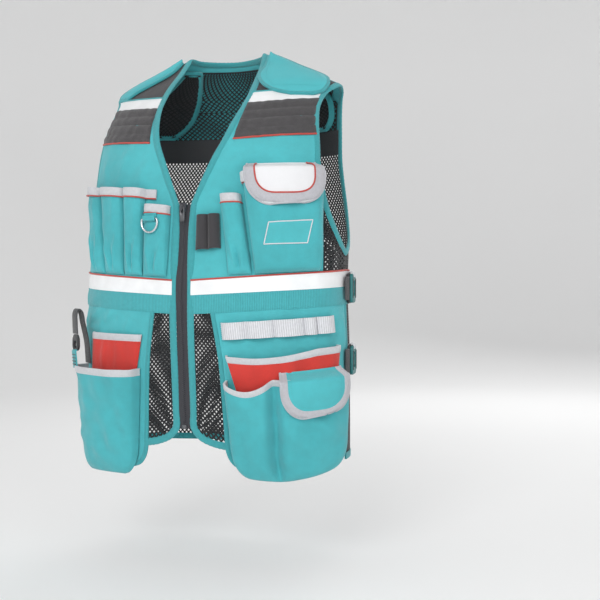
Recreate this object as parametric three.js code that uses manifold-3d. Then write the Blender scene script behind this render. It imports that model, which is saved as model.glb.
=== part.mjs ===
// Utility work vest as worn: cloth panels, bindings, pockets, zip, ring and side buckles.
// Millimetres, +Z up. The origin lies between the two neck points of the shoulder seams,
// the front faces -Y and the wearer's left is +X.
import * as THREE from "three";
import { mergeVertices } from "three/addons/utils/BufferGeometryUtils.js";
import Module from "manifold-3d";

const wasm = await Module();
wasm.setup();

// Torso form: a section at each level, with the girth drawn in below the shoulders
const FORM = [
  { level: 0, half: 61, front: 43, back: 85, widest: 45, power: 1.6 },
  { level: -15, half: 97, front: 28, back: 95, widest: 45, power: 1.6 },
  { level: -30, half: 130, front: 12, back: 105, widest: 45, power: 1.6 },
  { level: -45, half: 164, front: -6, back: 112, widest: 45, power: 1.6 },
  { level: -60, half: 195, front: -22, back: 118, widest: 45, power: 1.65 },
  { level: -78, half: 201, front: -39, back: 123, widest: 43, power: 1.8 },
  { level: -100, half: 203, front: -58, back: 127, widest: 41, power: 2.05 },
  { level: -130, half: 205, front: -79, back: 130, widest: 38, power: 2.3 },
  { level: -160, half: 206.5, front: -92, back: 131, widest: 35, power: 2.4 },
  { level: -200, half: 208, front: -101, back: 129, widest: 30, power: 2.45 },
  { level: -250, half: 210, front: -107, back: 124, widest: 22, power: 2.4 },
  { level: -330, half: 213, front: -114, back: 115, widest: 10, power: 2.35 },
  { level: -370, half: 213, front: -119, back: 111, widest: 5, power: 2.35 },
  { level: -450, half: 216, front: -116, back: 112, widest: 3, power: 2.35 },
  { level: -600, half: 216, front: -107, back: 115, widest: 2, power: 2.35 },
  { level: -700, half: 216, front: -105, back: 116, widest: 2, power: 2.35 },
];
const RING_STEPS = 120;

// Cloth sizes
const CLOTH = 1.8;
const MESH_CLOTH = 1.4;
const BINDING_THICK = 3;
const BINDING_UNDER = 0.6;
const GAP = 0.8;
const LAYER = CLOTH + GAP;

// Edges of the garment by level: across is the girth from centre front or centre back
const NECK = [
  { level: -1, edge: 63.3, inner: 72.4, drop: 3.2 },
  { level: -10, edge: 64.5, inner: 74, drop: 1 },
  { level: -19, edge: 66, inner: 75.5, drop: 1 },
  { level: -49, edge: 70, inner: 79, drop: 1 },
  { level: -80, edge: 71, inner: 80, drop: 0 },
  { level: -97, edge: 69, inner: 78, drop: 1 },
  { level: -124, edge: 62, inner: 71, drop: 2 },
  { level: -155, edge: 52, inner: 61, drop: 3 },
  { level: -178, edge: 41, inner: 49, drop: 5 },
  { level: -210, edge: 27, inner: 35, drop: 5 },
  { level: -243, edge: 13, inner: 20.5, drop: 4 },
  { level: -252, edge: 9.5, inner: 19, drop: 2 },
];
const ARM_FRONT = [
  { level: -61, edge: 213.5, inner: 203.5, drop: -4 },
  { level: -66, edge: 203, inner: 194, drop: -4 },
  { level: -74, edge: 194, inner: 185, drop: -3 },
  { level: -85, edge: 190, inner: 181, drop: -1 },
  { level: -100, edge: 189, inner: 180, drop: 0 },
  { level: -124, edge: 194, inner: 185, drop: 1 },
  { level: -162, edge: 203, inner: 194, drop: 1 },
  { level: -192, edge: 207, inner: 198, drop: 1 },
  { level: -217, edge: 213, inner: 204, drop: 3 },
  { level: -253, edge: 225, inner: 216.5, drop: 4 },
  { level: -288, edge: 246, inner: 239, drop: 6 },
  { level: -306, edge: 262, inner: 257, drop: 7.5 },
  { level: -316, edge: 276.5, inner: 276.5, drop: 9 },
];
const ARM_BACK = [
  { level: -61, edge: 215.5, inner: 206, drop: -4 },
  { level: -68, edge: 208, inner: 199, drop: -4 },
  { level: -78, edge: 203, inner: 194, drop: -1 },
  { level: -100, edge: 195, inner: 186, drop: 0 },
  { level: -130, edge: 190, inner: 181, drop: 0 },
  { level: -170, edge: 189, inner: 180, drop: 0 },
  { level: -210, edge: 198, inner: 189, drop: 1 },
  { level: -237, edge: 208, inner: 199, drop: 3 },
  { level: -275, edge: 224, inner: 216, drop: 5 },
  { level: -299, edge: 240, inner: 234, drop: 7 },
  { level: -310, edge: 252, inner: 248, drop: 8 },
  { level: -316, edge: 262.5, inner: 262.5, drop: 9 },
];
const NECK_ROW = 13;
const PLACKET = { edge: 9.5, inner: 19 };
const PLACKET_TOP = -253;

// Levels of the bands at the front: at the zip or neck end, and at the side end
const TAPE_TOP = { near: -364, far: -348 };
const TAPE_HEIGHT = 22;
const TAPE_FAR_HEIGHT = 25;
const BAND_BOTTOM = { near: -414, far: -400 };
const YOKE_BOTTOM = { near: -76, far: -68 };
const CHEST_TAPE_BOTTOM = { near: -95, far: -86 };
const CHEST_PAD_BOTTOM = { near: -154, far: -145 };
const CHEST_RIBS = 4;

// Finishes
const FINISH = {
  teal: { color: 0x4fbfc6, roughness: 0.85 },
  red: { color: 0xc93d33, roughness: 0.85 },
  grey: { color: 0xcdccd2, roughness: 0.8 },
  silver: { color: 0xe9ebee, roughness: 0.5 },
  dark: { color: 0x454447, roughness: 0.9 },
  mesh: { color: 0x2b2b2e, roughness: 0.95 },
  zip: { color: 0x4b4b52, roughness: 0.6 },
  metal: { color: 0xc4c7cc, roughness: 0.3, metalness: 1 },
  plastic: { color: 0x2f6f72, roughness: 0.5 },
};

const vest = new THREE.Group();

function addPiece(name, geometry, finish) {
  const mesh = new THREE.Mesh(geometry, new THREE.MeshStandardMaterial(FINISH[finish]));
  mesh.name = name;
  vest.add(mesh);
  return mesh;
}

function between(a, b, t) {
  return a + (b - a) * t;
}

// A smooth value of a table's column at a level, the levels running downwards
function column(table, key, level) {
  const last = table.length - 1;
  if (level >= table[0].level) return table[0][key];
  if (level <= table[last].level) return table[last][key];
  let i = 0;
  while (level < table[i + 1].level) i += 1;
  const slope = (k) => (table[k + 1][key] - table[k][key]) / (table[k + 1].level - table[k].level);
  const tangent = (k) => {
    if (k === 0) return slope(0);
    if (k === last) return slope(last - 1);
    return (slope(k - 1) + slope(k)) / 2;
  };
  const span = table[i + 1].level - table[i].level;
  const t = (level - table[i].level) / span;
  const a = table[i][key];
  const b = table[i + 1][key];
  const ease = t * t * (3 - 2 * t);
  const lead = t * (1 - t) * (1 - t) * span * tangent(i);
  const trail = t * t * (1 - t) * span * tangent(i + 1);
  return between(a, b, ease) + lead - trail;
}

const rings = new Map();

// Half a section of the form from centre front to centre back, with its running length
function ringAt(level) {
  if (rings.has(level)) return rings.get(level);
  const [half, front, back, widest, power] = ["half", "front", "back", "widest", "power"].map((key) =>
    column(FORM, key, level),
  );
  const ring = { x: [], y: [], run: [], side: 0 };
  for (let i = 0; i <= RING_STEPS; i += 1) {
    const turn = (Math.PI * i) / RING_STEPS;
    const cosine = Math.cos(turn);
    const reach = cosine > 0 ? widest - front : back - widest;
    ring.x.push(half * Math.abs(Math.sin(turn)) ** (2 / power));
    ring.y.push(widest - reach * Math.sign(cosine) * Math.abs(cosine) ** (2 / power));
    const step = i === 0 ? 0 : Math.hypot(ring.x[i] - ring.x[i - 1], ring.y[i] - ring.y[i - 1]);
    ring.run.push(i === 0 ? 0 : ring.run[i - 1] + step);
  }
  ring.side = ring.run[RING_STEPS / 2];
  ring.total = ring.run[RING_STEPS];
  rings.set(level, ring);
  return ring;
}

function pointOnForm(face, across, level) {
  const ring = ringAt(level);
  const run = face === "front" ? Math.abs(across) : ring.total - Math.abs(across);
  const inside = THREE.MathUtils.clamp(run, 0, ring.total);
  let i = 0;
  while (i < RING_STEPS - 1 && ring.run[i + 1] < inside) i += 1;
  const t = (inside - ring.run[i]) / (ring.run[i + 1] - ring.run[i]);
  const x = between(ring.x[i], ring.x[i + 1], t);
  return new THREE.Vector3(Math.sign(across) * x, between(ring.y[i], ring.y[i + 1], t), level);
}

const PROBE = 1.5;

// The outward direction of the form
function outward(face, across, level) {
  const start = across === 0 ? 0.01 : across;
  const along = pointOnForm(face, start + PROBE, level).sub(pointOnForm(face, start - PROBE, level));
  const high = Math.min(level + PROBE, 0);
  const down = pointOnForm(face, start, high).sub(pointOnForm(face, start, high - 2 * PROBE));
  const normal = along.cross(down).normalize();
  return face === "front" ? normal : normal.negate();
}

// A point lifted off the form; across runs from centre front or centre back to the wearer's left
function lifted(face, across, level, lift) {
  const point = pointOnForm(face, across === 0 ? 0.01 : across, level);
  return point.addScaledVector(outward(face, across, level), lift);
}

function fromTriangles(points, triangles) {
  const geometry = new THREE.BufferGeometry();
  const coordinates = points.flatMap((point) => [point.x, point.y, point.z]);
  geometry.setAttribute("position", new THREE.Float32BufferAttribute(coordinates, 3));
  let volume = 0;
  for (const [a, b, c] of triangles) {
    volume += points[a].dot(new THREE.Vector3().crossVectors(points[b], points[c]));
  }
  const facing = volume > 0 ? triangles : triangles.map(([a, b, c]) => [a, c, b]);
  geometry.setIndex(facing.flat());
  return geometry;
}

// A closed sheet between two grids of points; looped joins its last row to its first
function closedSheet(outer, inner, looped = false) {
  const rows = outer.length;
  const columns = outer[0].length;
  const points = [...outer.flat(), ...inner.flat()];
  const at = (side, i, j) => side * rows * columns + (i % rows) * columns + j;
  const triangles = [];
  const quad = (a, b, c, d) => triangles.push([a, b, c], [a, c, d]);
  const rowSteps = looped ? rows : rows - 1;
  for (let i = 0; i < rowSteps; i += 1) {
    for (let j = 0; j < columns - 1; j += 1) {
      quad(at(0, i, j), at(0, i + 1, j), at(0, i + 1, j + 1), at(0, i, j + 1));
      quad(at(1, i, j + 1), at(1, i + 1, j + 1), at(1, i + 1, j), at(1, i, j));
    }
    quad(at(0, i, columns - 1), at(0, i + 1, columns - 1), at(1, i + 1, columns - 1), at(1, i, columns - 1));
    quad(at(1, i, 0), at(1, i + 1, 0), at(0, i + 1, 0), at(0, i, 0));
  }
  if (!looped) {
    for (let j = 0; j < columns - 1; j += 1) {
      quad(at(0, 0, j), at(0, 0, j + 1), at(1, 0, j + 1), at(1, 0, j));
      quad(at(1, rows - 1, j), at(1, rows - 1, j + 1), at(0, rows - 1, j + 1), at(0, rows - 1, j));
    }
  }
  return fromTriangles(points, triangles);
}

function steps(count) {
  return Array.from({ length: count + 1 }, (_, i) => i / count);
}

// Where levels between the first and the last one lie, from 0 to 1
function stationsAt(levels) {
  const top = levels[0];
  const bottom = levels[levels.length - 1];
  return levels.map((level) => (top - level) / (top - bottom));
}

const asFunction = (value) => (typeof value === "function" ? value : () => value);

// Cloth between a near and a far edge, each a function of t that gives [across, level].
// low and high are its lifts off the form, as numbers or functions of s (across) and t (down).
function cloth(name, finish, shape) {
  const { face = "front", near, far, down = 8, wide = 8, low = 0, high = CLOTH, mirror = false } = shape;
  const sag = shape.sag ?? (() => 0);
  const stationsDown = Array.isArray(down) ? down : steps(down);
  const stationsWide = Array.isArray(wide) ? wide : steps(wide);
  const lowAt = asFunction(low);
  const highAt = asFunction(high);
  const hand = mirror ? -1 : 1;
  const grid = (lift) =>
    stationsDown.map((t) => {
      const [nearAcross, nearLevel] = near(t);
      const [farAcross, farLevel] = far(t);
      return stationsWide.map((s) => {
        const across = hand * between(nearAcross, farAcross, s);
        return lifted(face, across, between(nearLevel, farLevel, s) - sag(s, t), lift(s, t));
      });
    });
  return addPiece(name, closedSheet(grid(highAt), grid(lowAt)), finish);
}

function bothSides(name, finish, shape) {
  cloth(`${name}_l`, finish, shape);
  cloth(`${name}_r`, finish, { ...shape, mirror: true });
}

// Where panels stop short of the bindings: the binding's inner line, straight between its rows
function panelEdge(table, level) {
  const line = table.map((row) => ({ level: row.level - row.drop, inner: row.inner }));
  const i = line.findIndex((row) => row.level <= level);
  if (i === 0) return line[0].inner;
  if (i < 0) return line[line.length - 1].inner;
  const t = (level - line[i - 1].level) / (line[i].level - line[i - 1].level);
  return between(line[i - 1].inner, line[i].inner, t);
}
const neckPanel = (level) => {
  const reach = level < PLACKET_TOP ? PLACKET.inner : panelEdge(smoothRows(NECK, NECK_ROW), level);
  return reach + GAP;
};
const armPanel = (level) => Math.min(panelEdge(ARM_FRONT, level), ringAt(level).side) - GAP;
const backArmPanel = (level) => {
  const ring = ringAt(level);
  return Math.min(panelEdge(ARM_BACK, level), ring.total - ring.side) - GAP;
};
const sideSeam = (level) => ringAt(level).side - GAP / 2;
const backSeam = (level) => ringAt(level).total - ringAt(level).side - GAP / 2;

// A strip between two levels that may slant from the near end to the far end
function slanted(top, bottom, nearEdge, farEdge) {
  return {
    near: (t) => {
      const level = between(top.near, bottom.near, t);
      return [nearEdge(level), level];
    },
    far: (t) => {
      const level = between(top.far, bottom.far, t);
      return [farEdge(level), level];
    },
  };
}

const below = (line, drop = GAP) => ({ near: line.near - drop, far: line.far - drop });

// Front shell, from the shoulders down
const RIB_LOW = 3.4;
const RIB_HIGH = 2.4;
const ARM_FOOT = -325;
const SIDE_LEVELS = [-238, -257, -275, -294, -304, -313.5, -325.4, -347.4];

function frontShell() {
  bothSides("yoke", "dark", {
    ...slanted({ near: -5.5, far: -5.5 }, YOKE_BOTTOM, neckPanel, armPanel),
    down: [0, 0.2, 0.4, 0.6, 0.8, 0.9, 1],
    wide: 6,
  });
  bothSides("chest_tape", "silver", {
    ...slanted(below(YOKE_BOTTOM), CHEST_TAPE_BOTTOM, neckPanel, armPanel),
    down: [0, 0.13, 0.5, 1],
    wide: 6,
  });
  bothSides("chest_pad", "dark", {
    ...slanted(below(CHEST_TAPE_BOTTOM), CHEST_PAD_BOTTOM, neckPanel, armPanel),
    down: CHEST_RIBS * 2,
    wide: 6,
    high: (s, t) => RIB_LOW + RIB_HIGH * Math.abs(Math.sin(Math.PI * CHEST_RIBS * t)),
  });
  const panelFoot = { near: TAPE_TOP.near + GAP, far: TAPE_TOP.far + 3 };
  bothSides("front_panel", "teal", {
    ...slanted(below(CHEST_PAD_BOTTOM), panelFoot, neckPanel, panelSide),
    down: 9,
    wide: 8,
  });
  const sideTop = SIDE_LEVELS[0];
  const sideFoot = SIDE_LEVELS[SIDE_LEVELS.length - 1];
  bothSides("side_mesh", "mesh", {
    near: (t) => {
      const level = between(sideTop, sideFoot - 2.6, t);
      return [panelSide(level) + GAP, level];
    },
    far: (t) => {
      const level = between(sideTop, sideFoot, t);
      return [level > ARM_FOOT ? armPanel(level) : sideSeam(level), level];
    },
    down: stationsAt(SIDE_LEVELS),
    wide: 3,
    high: MESH_CLOTH,
  });
}

// The front panel's outer edge leaves the armhole and runs down behind the last pocket
const SIDE_EDGE = [
  { level: -217, inner: 203.2 },
  { level: -236, inner: 208 },
  { level: -270, inner: 213 },
  { level: -350, inner: 216 },
];
function panelSide(level) {
  return level > SIDE_EDGE[0].level ? armPanel(level) : column(SIDE_EDGE, "inner", level);
}

// Waist: reflective tape over a cloth band, and the hips' base panels
const tapeBottom = { near: TAPE_TOP.near - TAPE_HEIGHT, far: TAPE_TOP.far - TAPE_FAR_HEIGHT };
const placketPanel = () => PLACKET.inner + GAP;
const BAND_THICK = 2.4;
const WAIST_COLUMNS = 12;
const WAIST_BACK_COLUMNS = 18;
const SEAM_ACROSS = 277;
const HIP_NEAR = [
  { level: -414, inner: 50 },
  { level: -480, inner: 60 },
  { level: -620, inner: 67.5 },
];
const hipNear = (level) => column(HIP_NEAR, "inner", level) + GAP / 2;

function waist() {
  bothSides("waist_tape", "silver", {
    ...slanted(TAPE_TOP, tapeBottom, placketPanel, sideSeam),
    down: 1,
    wide: WAIST_COLUMNS,
  });
  bothSides("waistband", "teal", {
    ...slanted(below(tapeBottom), BAND_BOTTOM, placketPanel, sideSeam),
    down: 1,
    wide: WAIST_COLUMNS,
    high: BAND_THICK,
  });
  cloth("waist_tape_back", "silver", {
    face: "back",
    ...backSpan([TAPE_TOP.far, tapeBottom.far], backSeam),
    wide: WAIST_BACK_COLUMNS,
  });
  cloth("waistband_back", "teal", {
    face: "back",
    ...backSpan([tapeBottom.far - GAP, BAND_BOTTOM.far], backSeam),
    wide: WAIST_BACK_COLUMNS,
    high: BAND_THICK,
  });
}

const SKIRT_BACK_BOTTOM = -636;
const SKIRT_BOTTOM = { near: -582, far: -604.5 };
const HIP_BOTTOM = { near: -622, far: -618 };

function skirts() {
  const top = below(BAND_BOTTOM);
  const lineLevel = (across) => {
    const share = (across - PLACKET.inner) / (SEAM_ACROSS - PLACKET.inner);
    return between(top.near, top.far, share);
  };
  const hipTop = lineLevel(HIP_NEAR[0].inner);
  bothSides("skirt_mesh", "mesh", {
    near: (t) => [PLACKET.inner + GAP, between(lineLevel(PLACKET.inner), SKIRT_BOTTOM.near, t)],
    far: (t) => {
      const level = between(hipTop, SKIRT_BOTTOM.far, t);
      return [hipNear(level) - GAP, level];
    },
    down: 6,
    wide: 3,
    high: MESH_CLOTH,
  });
  cloth("skirt_mesh_back", "mesh", {
    face: "back",
    ...backSpan([BAND_BOTTOM.far - GAP, -460, -540, SKIRT_BACK_BOTTOM], backSeam),
    wide: WAIST_BACK_COLUMNS,
    high: MESH_CLOTH,
  });
  bothSides("hip_panel", "teal", {
    near: (t) => {
      const level = between(hipTop, HIP_BOTTOM.near, t);
      return [hipNear(level), level];
    },
    far: (t) => {
      const level = between(top.far, HIP_BOTTOM.far, t);
      return [sideSeam(level) - 1, level];
    },
    down: 6,
    wide: 10,
  });
}

// Back shell
const BACK_TAPE = { top: -30, middle: -40, bottom: -50, thick: 1.2, margin: 34 };
const BACK_BAND_TOP = -124;
const BACK_BAND_BOTTOM = -158.5;
const BACK_MESH_LEVELS = [-150.8, -170, -211, -240, -280, -306, -318, -325.5, -347.2];
const LINING_TOP = -14;
const BACK_YOKE_LEVELS = [-11.5, -22, -33, -45, -57, -64, -77, -100, BACK_BAND_TOP, -150];
const BACK_COLUMNS = 14;
const LINING_MARGIN = 4;
const RIDGE_MARGIN = 32;
const SHOULDER_LEVEL = -75;

// Rows across the back at the given levels, out to an edge on both sides
function backSpan(levels, edge) {
  const top = levels[0];
  const bottom = levels[levels.length - 1];
  const at = (t) => between(top, bottom, t);
  return {
    face: "back",
    near: (t) => [-edge(at(t)), at(t)],
    far: (t) => [edge(at(t)), at(t)],
    down: stationsAt(levels),
  };
}

function backShell() {
  const linedLevels = BACK_YOKE_LEVELS.slice(1, -2);
  const liningEdge = (level) => {
    const margin = level > SHOULDER_LEVEL ? RIDGE_MARGIN : LINING_MARGIN;
    return backArmPanel(level) - margin;
  };
  const underside = { wide: BACK_COLUMNS, low: -MESH_CLOTH - GAP, high: -GAP };
  cloth("back_yoke", "teal", { ...backSpan(BACK_YOKE_LEVELS, backArmPanel), wide: BACK_COLUMNS });
  cloth("back_lining", "mesh", {
    ...backSpan([LINING_TOP, ...linedLevels, BACK_BAND_TOP + GAP], liningEdge),
    ...underside,
  });
  cloth("back_band", "dark", {
    ...backSpan([BACK_BAND_TOP, -150, BACK_BAND_BOTTOM], (level) => backArmPanel(level) - LINING_MARGIN),
    ...underside,
  });
  cloth("back_mesh", "mesh", {
    ...backSpan(BACK_MESH_LEVELS, (level) => (level > ARM_FOOT ? backArmPanel(level) : backSeam(level))),
    wide: BACK_COLUMNS,
    high: MESH_CLOTH,
  });
  cloth("back_tape", "silver", {
    ...backSpan([BACK_TAPE.top, BACK_TAPE.middle, BACK_TAPE.bottom], (level) =>
      backArmPanel(level) - BACK_TAPE.margin,
    ),
    wide: BACK_COLUMNS,
    low: LAYER,
    high: LAYER + BACK_TAPE.thick,
  });
}

// Bindings: strips between an edge and the line where the panels stop
function edgePair(face, row, hand) {
  return {
    face,
    edge: [hand * row.edge, row.level],
    inner: [hand * row.inner, row.level - row.drop],
  };
}

function refined(pairs, pieces) {
  const rows = [];
  pairs.forEach((pair, i) => {
    const next = pairs[i + 1];
    const count = next && next.face === pair.face ? pieces : 1;
    for (let k = 0; k < count; k += 1) {
      const t = k / count;
      const goal = next ?? pair;
      const mix = (key) => [0, 1].map((axis) => between(pair[key][axis], goal[key][axis], t));
      rows.push({ face: pair.face, edge: mix("edge"), inner: mix("inner") });
    }
  });
  return rows;
}

function binding(name, pairs, looped, pieces = 2) {
  const rows = refined(pairs, pieces);
  const grid = (lift) =>
    rows.map((row) => [
      lifted(row.face, row.edge[0], row.edge[1], lift),
      lifted(row.face, row.inner[0], row.inner[1], lift),
    ]);
  const top = grid(BINDING_THICK - BINDING_UNDER);
  return addPiece(name, closedSheet(top, grid(-BINDING_UNDER), looped), "teal");
}

function smoothRows(table, every) {
  const first = table[0].level;
  const last = table[table.length - 1].level;
  const count = Math.max(2, Math.round((first - last) / every));
  return steps(count).map((t) => {
    const level = between(first, last, t);
    return {
      level,
      edge: column(table, "edge", level),
      inner: column(table, "inner", level),
      drop: column(table, "drop", level),
    };
  });
}

const BACK_NECK = { edge: 60, level: -1, inner: 62, innerLevel: -10.5 };
const HEM_CORNER = [
  { level: -587, edge: 9.5, inner: 19, drop: -3 },
  { level: -602, edge: 23.5, inner: 30, drop: -7 },
  { level: -611, edge: 44, inner: 46, drop: -9 },
  { level: -616, edge: 67, inner: 67, drop: -9.5 },
];
const PLACKET_ENDS = { top: -255, bottom: -575 };

function bindings() {
  const neckFront = smoothRows(NECK, NECK_ROW);
  const backNeck = steps(9).map((t) => {
    const across = between(-1, 1, t);
    return {
      face: "back",
      edge: [BACK_NECK.edge * across, BACK_NECK.level],
      inner: [BACK_NECK.inner * across, BACK_NECK.innerLevel],
    };
  });
  const neckPairs = [
    ...neckFront.map((row) => edgePair("front", row, -1)).reverse(),
    ...backNeck,
    ...neckFront.map((row) => edgePair("front", row, 1)),
  ];
  binding("neck_binding", neckPairs, false, 1);
  for (const [suffix, hand] of [["l", 1], ["r", -1]]) {
    const front = ARM_FRONT.map((row) => edgePair("front", row, hand));
    const back = ARM_BACK.slice(1, -1).map((row) => edgePair("back", row, hand)).reverse();
    binding(`armhole_binding_${suffix}`, [...front, ...back], true, 2);
    const placket = steps(4).map((t) => {
      const level = between(PLACKET_ENDS.top, PLACKET_ENDS.bottom, t);
      return edgePair("front", { ...PLACKET, level, drop: 0 }, hand);
    });
    const corner = HEM_CORNER.map((row) => edgePair("front", row, hand));
    binding(`front_binding_${suffix}`, [...placket, ...corner], false, 2);
  }
}

// Shoulder pads: a rounded pad over each shoulder seam, and an oval pad inside the back
const PAD_THICK = 5;
const PAD_RIM = 2;
const PAD_OUTLINE = [
  { level: -6, start: 76, end: 83 },
  { level: -30, start: 80, end: 134 },
  { level: -52, start: 82, end: 184 },
  { level: -66, start: 90, end: 180 },
  { level: -75, start: 104, end: 172 },
  { level: -81, start: 124, end: 158 },
];
const PAD_LINING = [
  { level: -14, start: 66, end: 92 },
  { level: -40, start: 74, end: 128 },
  { level: -66, start: 84, end: 170 },
  { level: -90, start: 98, end: 176 },
  { level: -108, start: 118, end: 168 },
  { level: -117, start: 134, end: 156 },
];
const PAD_LINING_THICK = 4;

// One side of an outline, kept inside a limit
function outlineEdge(table, key, limit) {
  const top = table[0].level - 1;
  const bottom = table[table.length - 1].level + 1;
  return (t) => {
    const level = between(top, bottom, t);
    return [Math.min(column(table, key, level), limit(level)), level];
  };
}

function shoulderPads() {
  const ridge = (level) => ringAt(level).side - GAP;
  const swell = (s, t) => {
    const across = Math.sin(Math.PI * Math.min(0.98, s));
    return PAD_THICK * Math.sqrt(Math.max(0, across * (1 - t * t)));
  };
  bothSides("shoulder_pad", "teal", {
    near: outlineEdge(PAD_OUTLINE, "start", ridge),
    far: outlineEdge(PAD_OUTLINE, "end", ridge),
    down: 6,
    wide: 7,
    low: LAYER + GAP,
    high: (s, t) => LAYER + GAP + PAD_RIM + swell(s, t),
  });
  const limit = (level) => backArmPanel(level) - 5;
  const liningTop = -MESH_CLOTH - 3 * GAP;
  bothSides("pad_lining", "mesh", {
    face: "back",
    near: outlineEdge(PAD_LINING, "start", limit),
    far: outlineEdge(PAD_LINING, "end", limit),
    down: 7,
    wide: 6,
    low: liningTop - PAD_LINING_THICK,
    high: liningTop,
  });
}

// A pocket sewn to the form: a bulged wall, closed at its sides and foot, open at its mouth
const POCKET_STATIONS = [0, 0.04, 0.12, 0.22, 0.33, 0.44, 0.56, 0.67, 0.78, 0.88, 0.96, 1];
const NARROW_STATIONS = [0, 0.1, 0.35, 0.65, 0.9, 1];
const POCKET_ROWS = [0, 0.42, 0.8, 0.94, 1];

const PLEAT = { depth: 0.42, width: 0.05, fade: 0.6 };

// The near and far edges of a piece given by its top and bottom corners
function corners({ top, bottom }) {
  const edge = (side) => (t) => [0, 1].map((axis) => between(top[side][axis], bottom[side][axis], t));
  return { near: edge(0), far: edge(1) };
}

function bulge(s, squareness) {
  return (1 - Math.abs(2 * s - 1) ** squareness) ** (1 / squareness);
}

// How far a pocket stands out; a pleat draws its wall back in along one line
function pocketDepth(pocket, s, t) {
  const fall = between(pocket.mouth, pocket.foot, t);
  const close = (1 - t ** 8) ** (1 / 3);
  const offset = pocket.pleat ? (s - pocket.pleat) / PLEAT.width : Infinity;
  const tuck = PLEAT.depth * Math.exp(-(offset ** 2)) * (1 - PLEAT.fade * t);
  return fall * bulge(s, pocket.squareness) * close * (1 - tuck);
}

function pocket(name, finish, shape) {
  const lift = (s, t) => LAYER + pocketDepth(shape, s, t);
  return cloth(name, finish, {
    wide: shape.wide ?? POCKET_STATIONS,
    down: POCKET_ROWS,
    mirror: shape.mirror,
    sag: shape.sag,
    ...corners(shape),
    low: lift,
    high: (s, t) => lift(s, t) + CLOTH,
  });
}

const PEN_POCKETS = [
  { name: "pen_pocket_1", start: 160, end: 200, near: -220, far: -216, foot: 142.5, footEnd: 182, hand: -1 },
  { name: "pen_pocket_2", start: 106, end: 157, near: -224, far: -220, foot: 101.5, footEnd: 140, hand: -1 },
  { name: "pen_pocket_3", start: 66.5, end: 103.5, near: -228, far: -224, foot: 66.5, footEnd: 99, hand: -1 },
  { name: "pen_pocket_4", start: 22, end: 64, near: -254, far: -251, foot: 24, footEnd: 64, hand: -1 },
  { name: "pen_pocket_5", start: 58, end: 89, near: -239, far: -239, foot: 74, footEnd: 109, hand: 1 },
];
const PEN_DEPTH = 15;
const PEN_FOOT_DEPTH = 9;
const PEN_FOOT = { near: -360.5, far: -346 };

function penPockets() {
  const footLevel = (across) => between(PEN_FOOT.near, PEN_FOOT.far, across / SEAM_ACROSS);
  for (const pen of PEN_POCKETS) {
    pocket(pen.name, "teal", {
      top: [[pen.start, pen.near], [pen.end, pen.far]],
      bottom: [[pen.foot, footLevel(pen.foot)], [pen.footEnd, footLevel(pen.footEnd)]],
      mouth: PEN_DEPTH,
      foot: PEN_FOOT_DEPTH,
      wide: NARROW_STATIONS,
      squareness: 3,
      mirror: pen.hand < 0,
    });
  }
}

const METER = {
  top: [[92, -222], [204, -219]],
  bottom: [[113.5, -355], [208, -350]],
  mouth: 26,
  foot: 20,
  squareness: 4,
};

// A strip sewn down along several stitch lines, standing out as a loop between them
const LOOP_THICK = 1.6;

function loopWall(name, finish, shape) {
  const stations = [];
  shape.stitches.slice(0, -1).forEach((from, i) => {
    const to = shape.stitches[i + 1];
    steps(6).slice(0, -1).forEach((k) => stations.push(between(from, to, k)));
  });
  stations.push(1);
  const lift = (s) => {
    const i = Math.max(0, shape.stitches.findIndex((stop) => stop >= s - 1e-9) - 1);
    const local = (s - shape.stitches[i]) / (shape.stitches[i + 1] - shape.stitches[i]);
    const arch = Math.sin(Math.PI * THREE.MathUtils.clamp(local, 0, 1));
    return LAYER + shape.rise * Math.sqrt(Math.max(0, arch));
  };
  cloth(name, finish, {
    ...corners(shape),
    wide: stations,
    down: 1,
    low: lift,
    high: (s) => lift(s) + LOOP_THICK,
  });
}

// A flap hinged at its top edge and lying over the mouth of a bulged pocket
const FLAP_ROWS = [0, 0.08, 0.16, 0.26, 0.5, 0.72, 0.9, 1];
const FLAP = { thick: 2.2, clear: 3.5, bend: 0.22, roundFrom: 0.4, narrowing: 0.62 };

function flap(name, finish, shape) {
  const { top, drop, over, base = LAYER } = shape;
  const cover = (s, t) => {
    const rise = Math.min(1, t / FLAP.bend);
    const ease = rise * rise * (3 - 2 * rise);
    return base + (over - base) * ease * bulge(between(0.06, 0.94, s), 4) + FLAP.clear * ease;
  };
  const edge = (side) => (t) => {
    const across = between(top[0][0], top[1][0], side);
    const level = between(top[0][1], top[1][1], side);
    const middle = between(top[0][0], top[1][0], 0.5);
    const corner = Math.max(0, (t - FLAP.roundFrom) / (1 - FLAP.roundFrom));
    const narrow = 1 - FLAP.narrowing * (1 - Math.sqrt(1 - Math.min(0.999, corner) ** 2));
    return [between(middle, across, narrow) + shape.lean * t, level - drop * t];
  };
  cloth(name, finish, {
    near: edge(0),
    far: edge(1),
    wide: POCKET_STATIONS,
    down: FLAP_ROWS,
    low: cover,
    high: (s, t) => cover(s, t) + FLAP.thick,
  });
}

function chestPockets() {
  pocket("meter_pocket", "teal", METER);
  flap("meter_flap", "grey", {
    top: [[95, -193], [195, -190]],
    drop: 64,
    over: METER.mouth + CLOTH + 4.1,
    lean: 8,
  });
  loopWall("tool_loop", "dark", {
    top: [[22, -268], [57.5, -266]],
    bottom: [[22, -320], [61.5, -317]],
    stitches: [0, 0.5, 1],
    rise: 9,
  });
}

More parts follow.
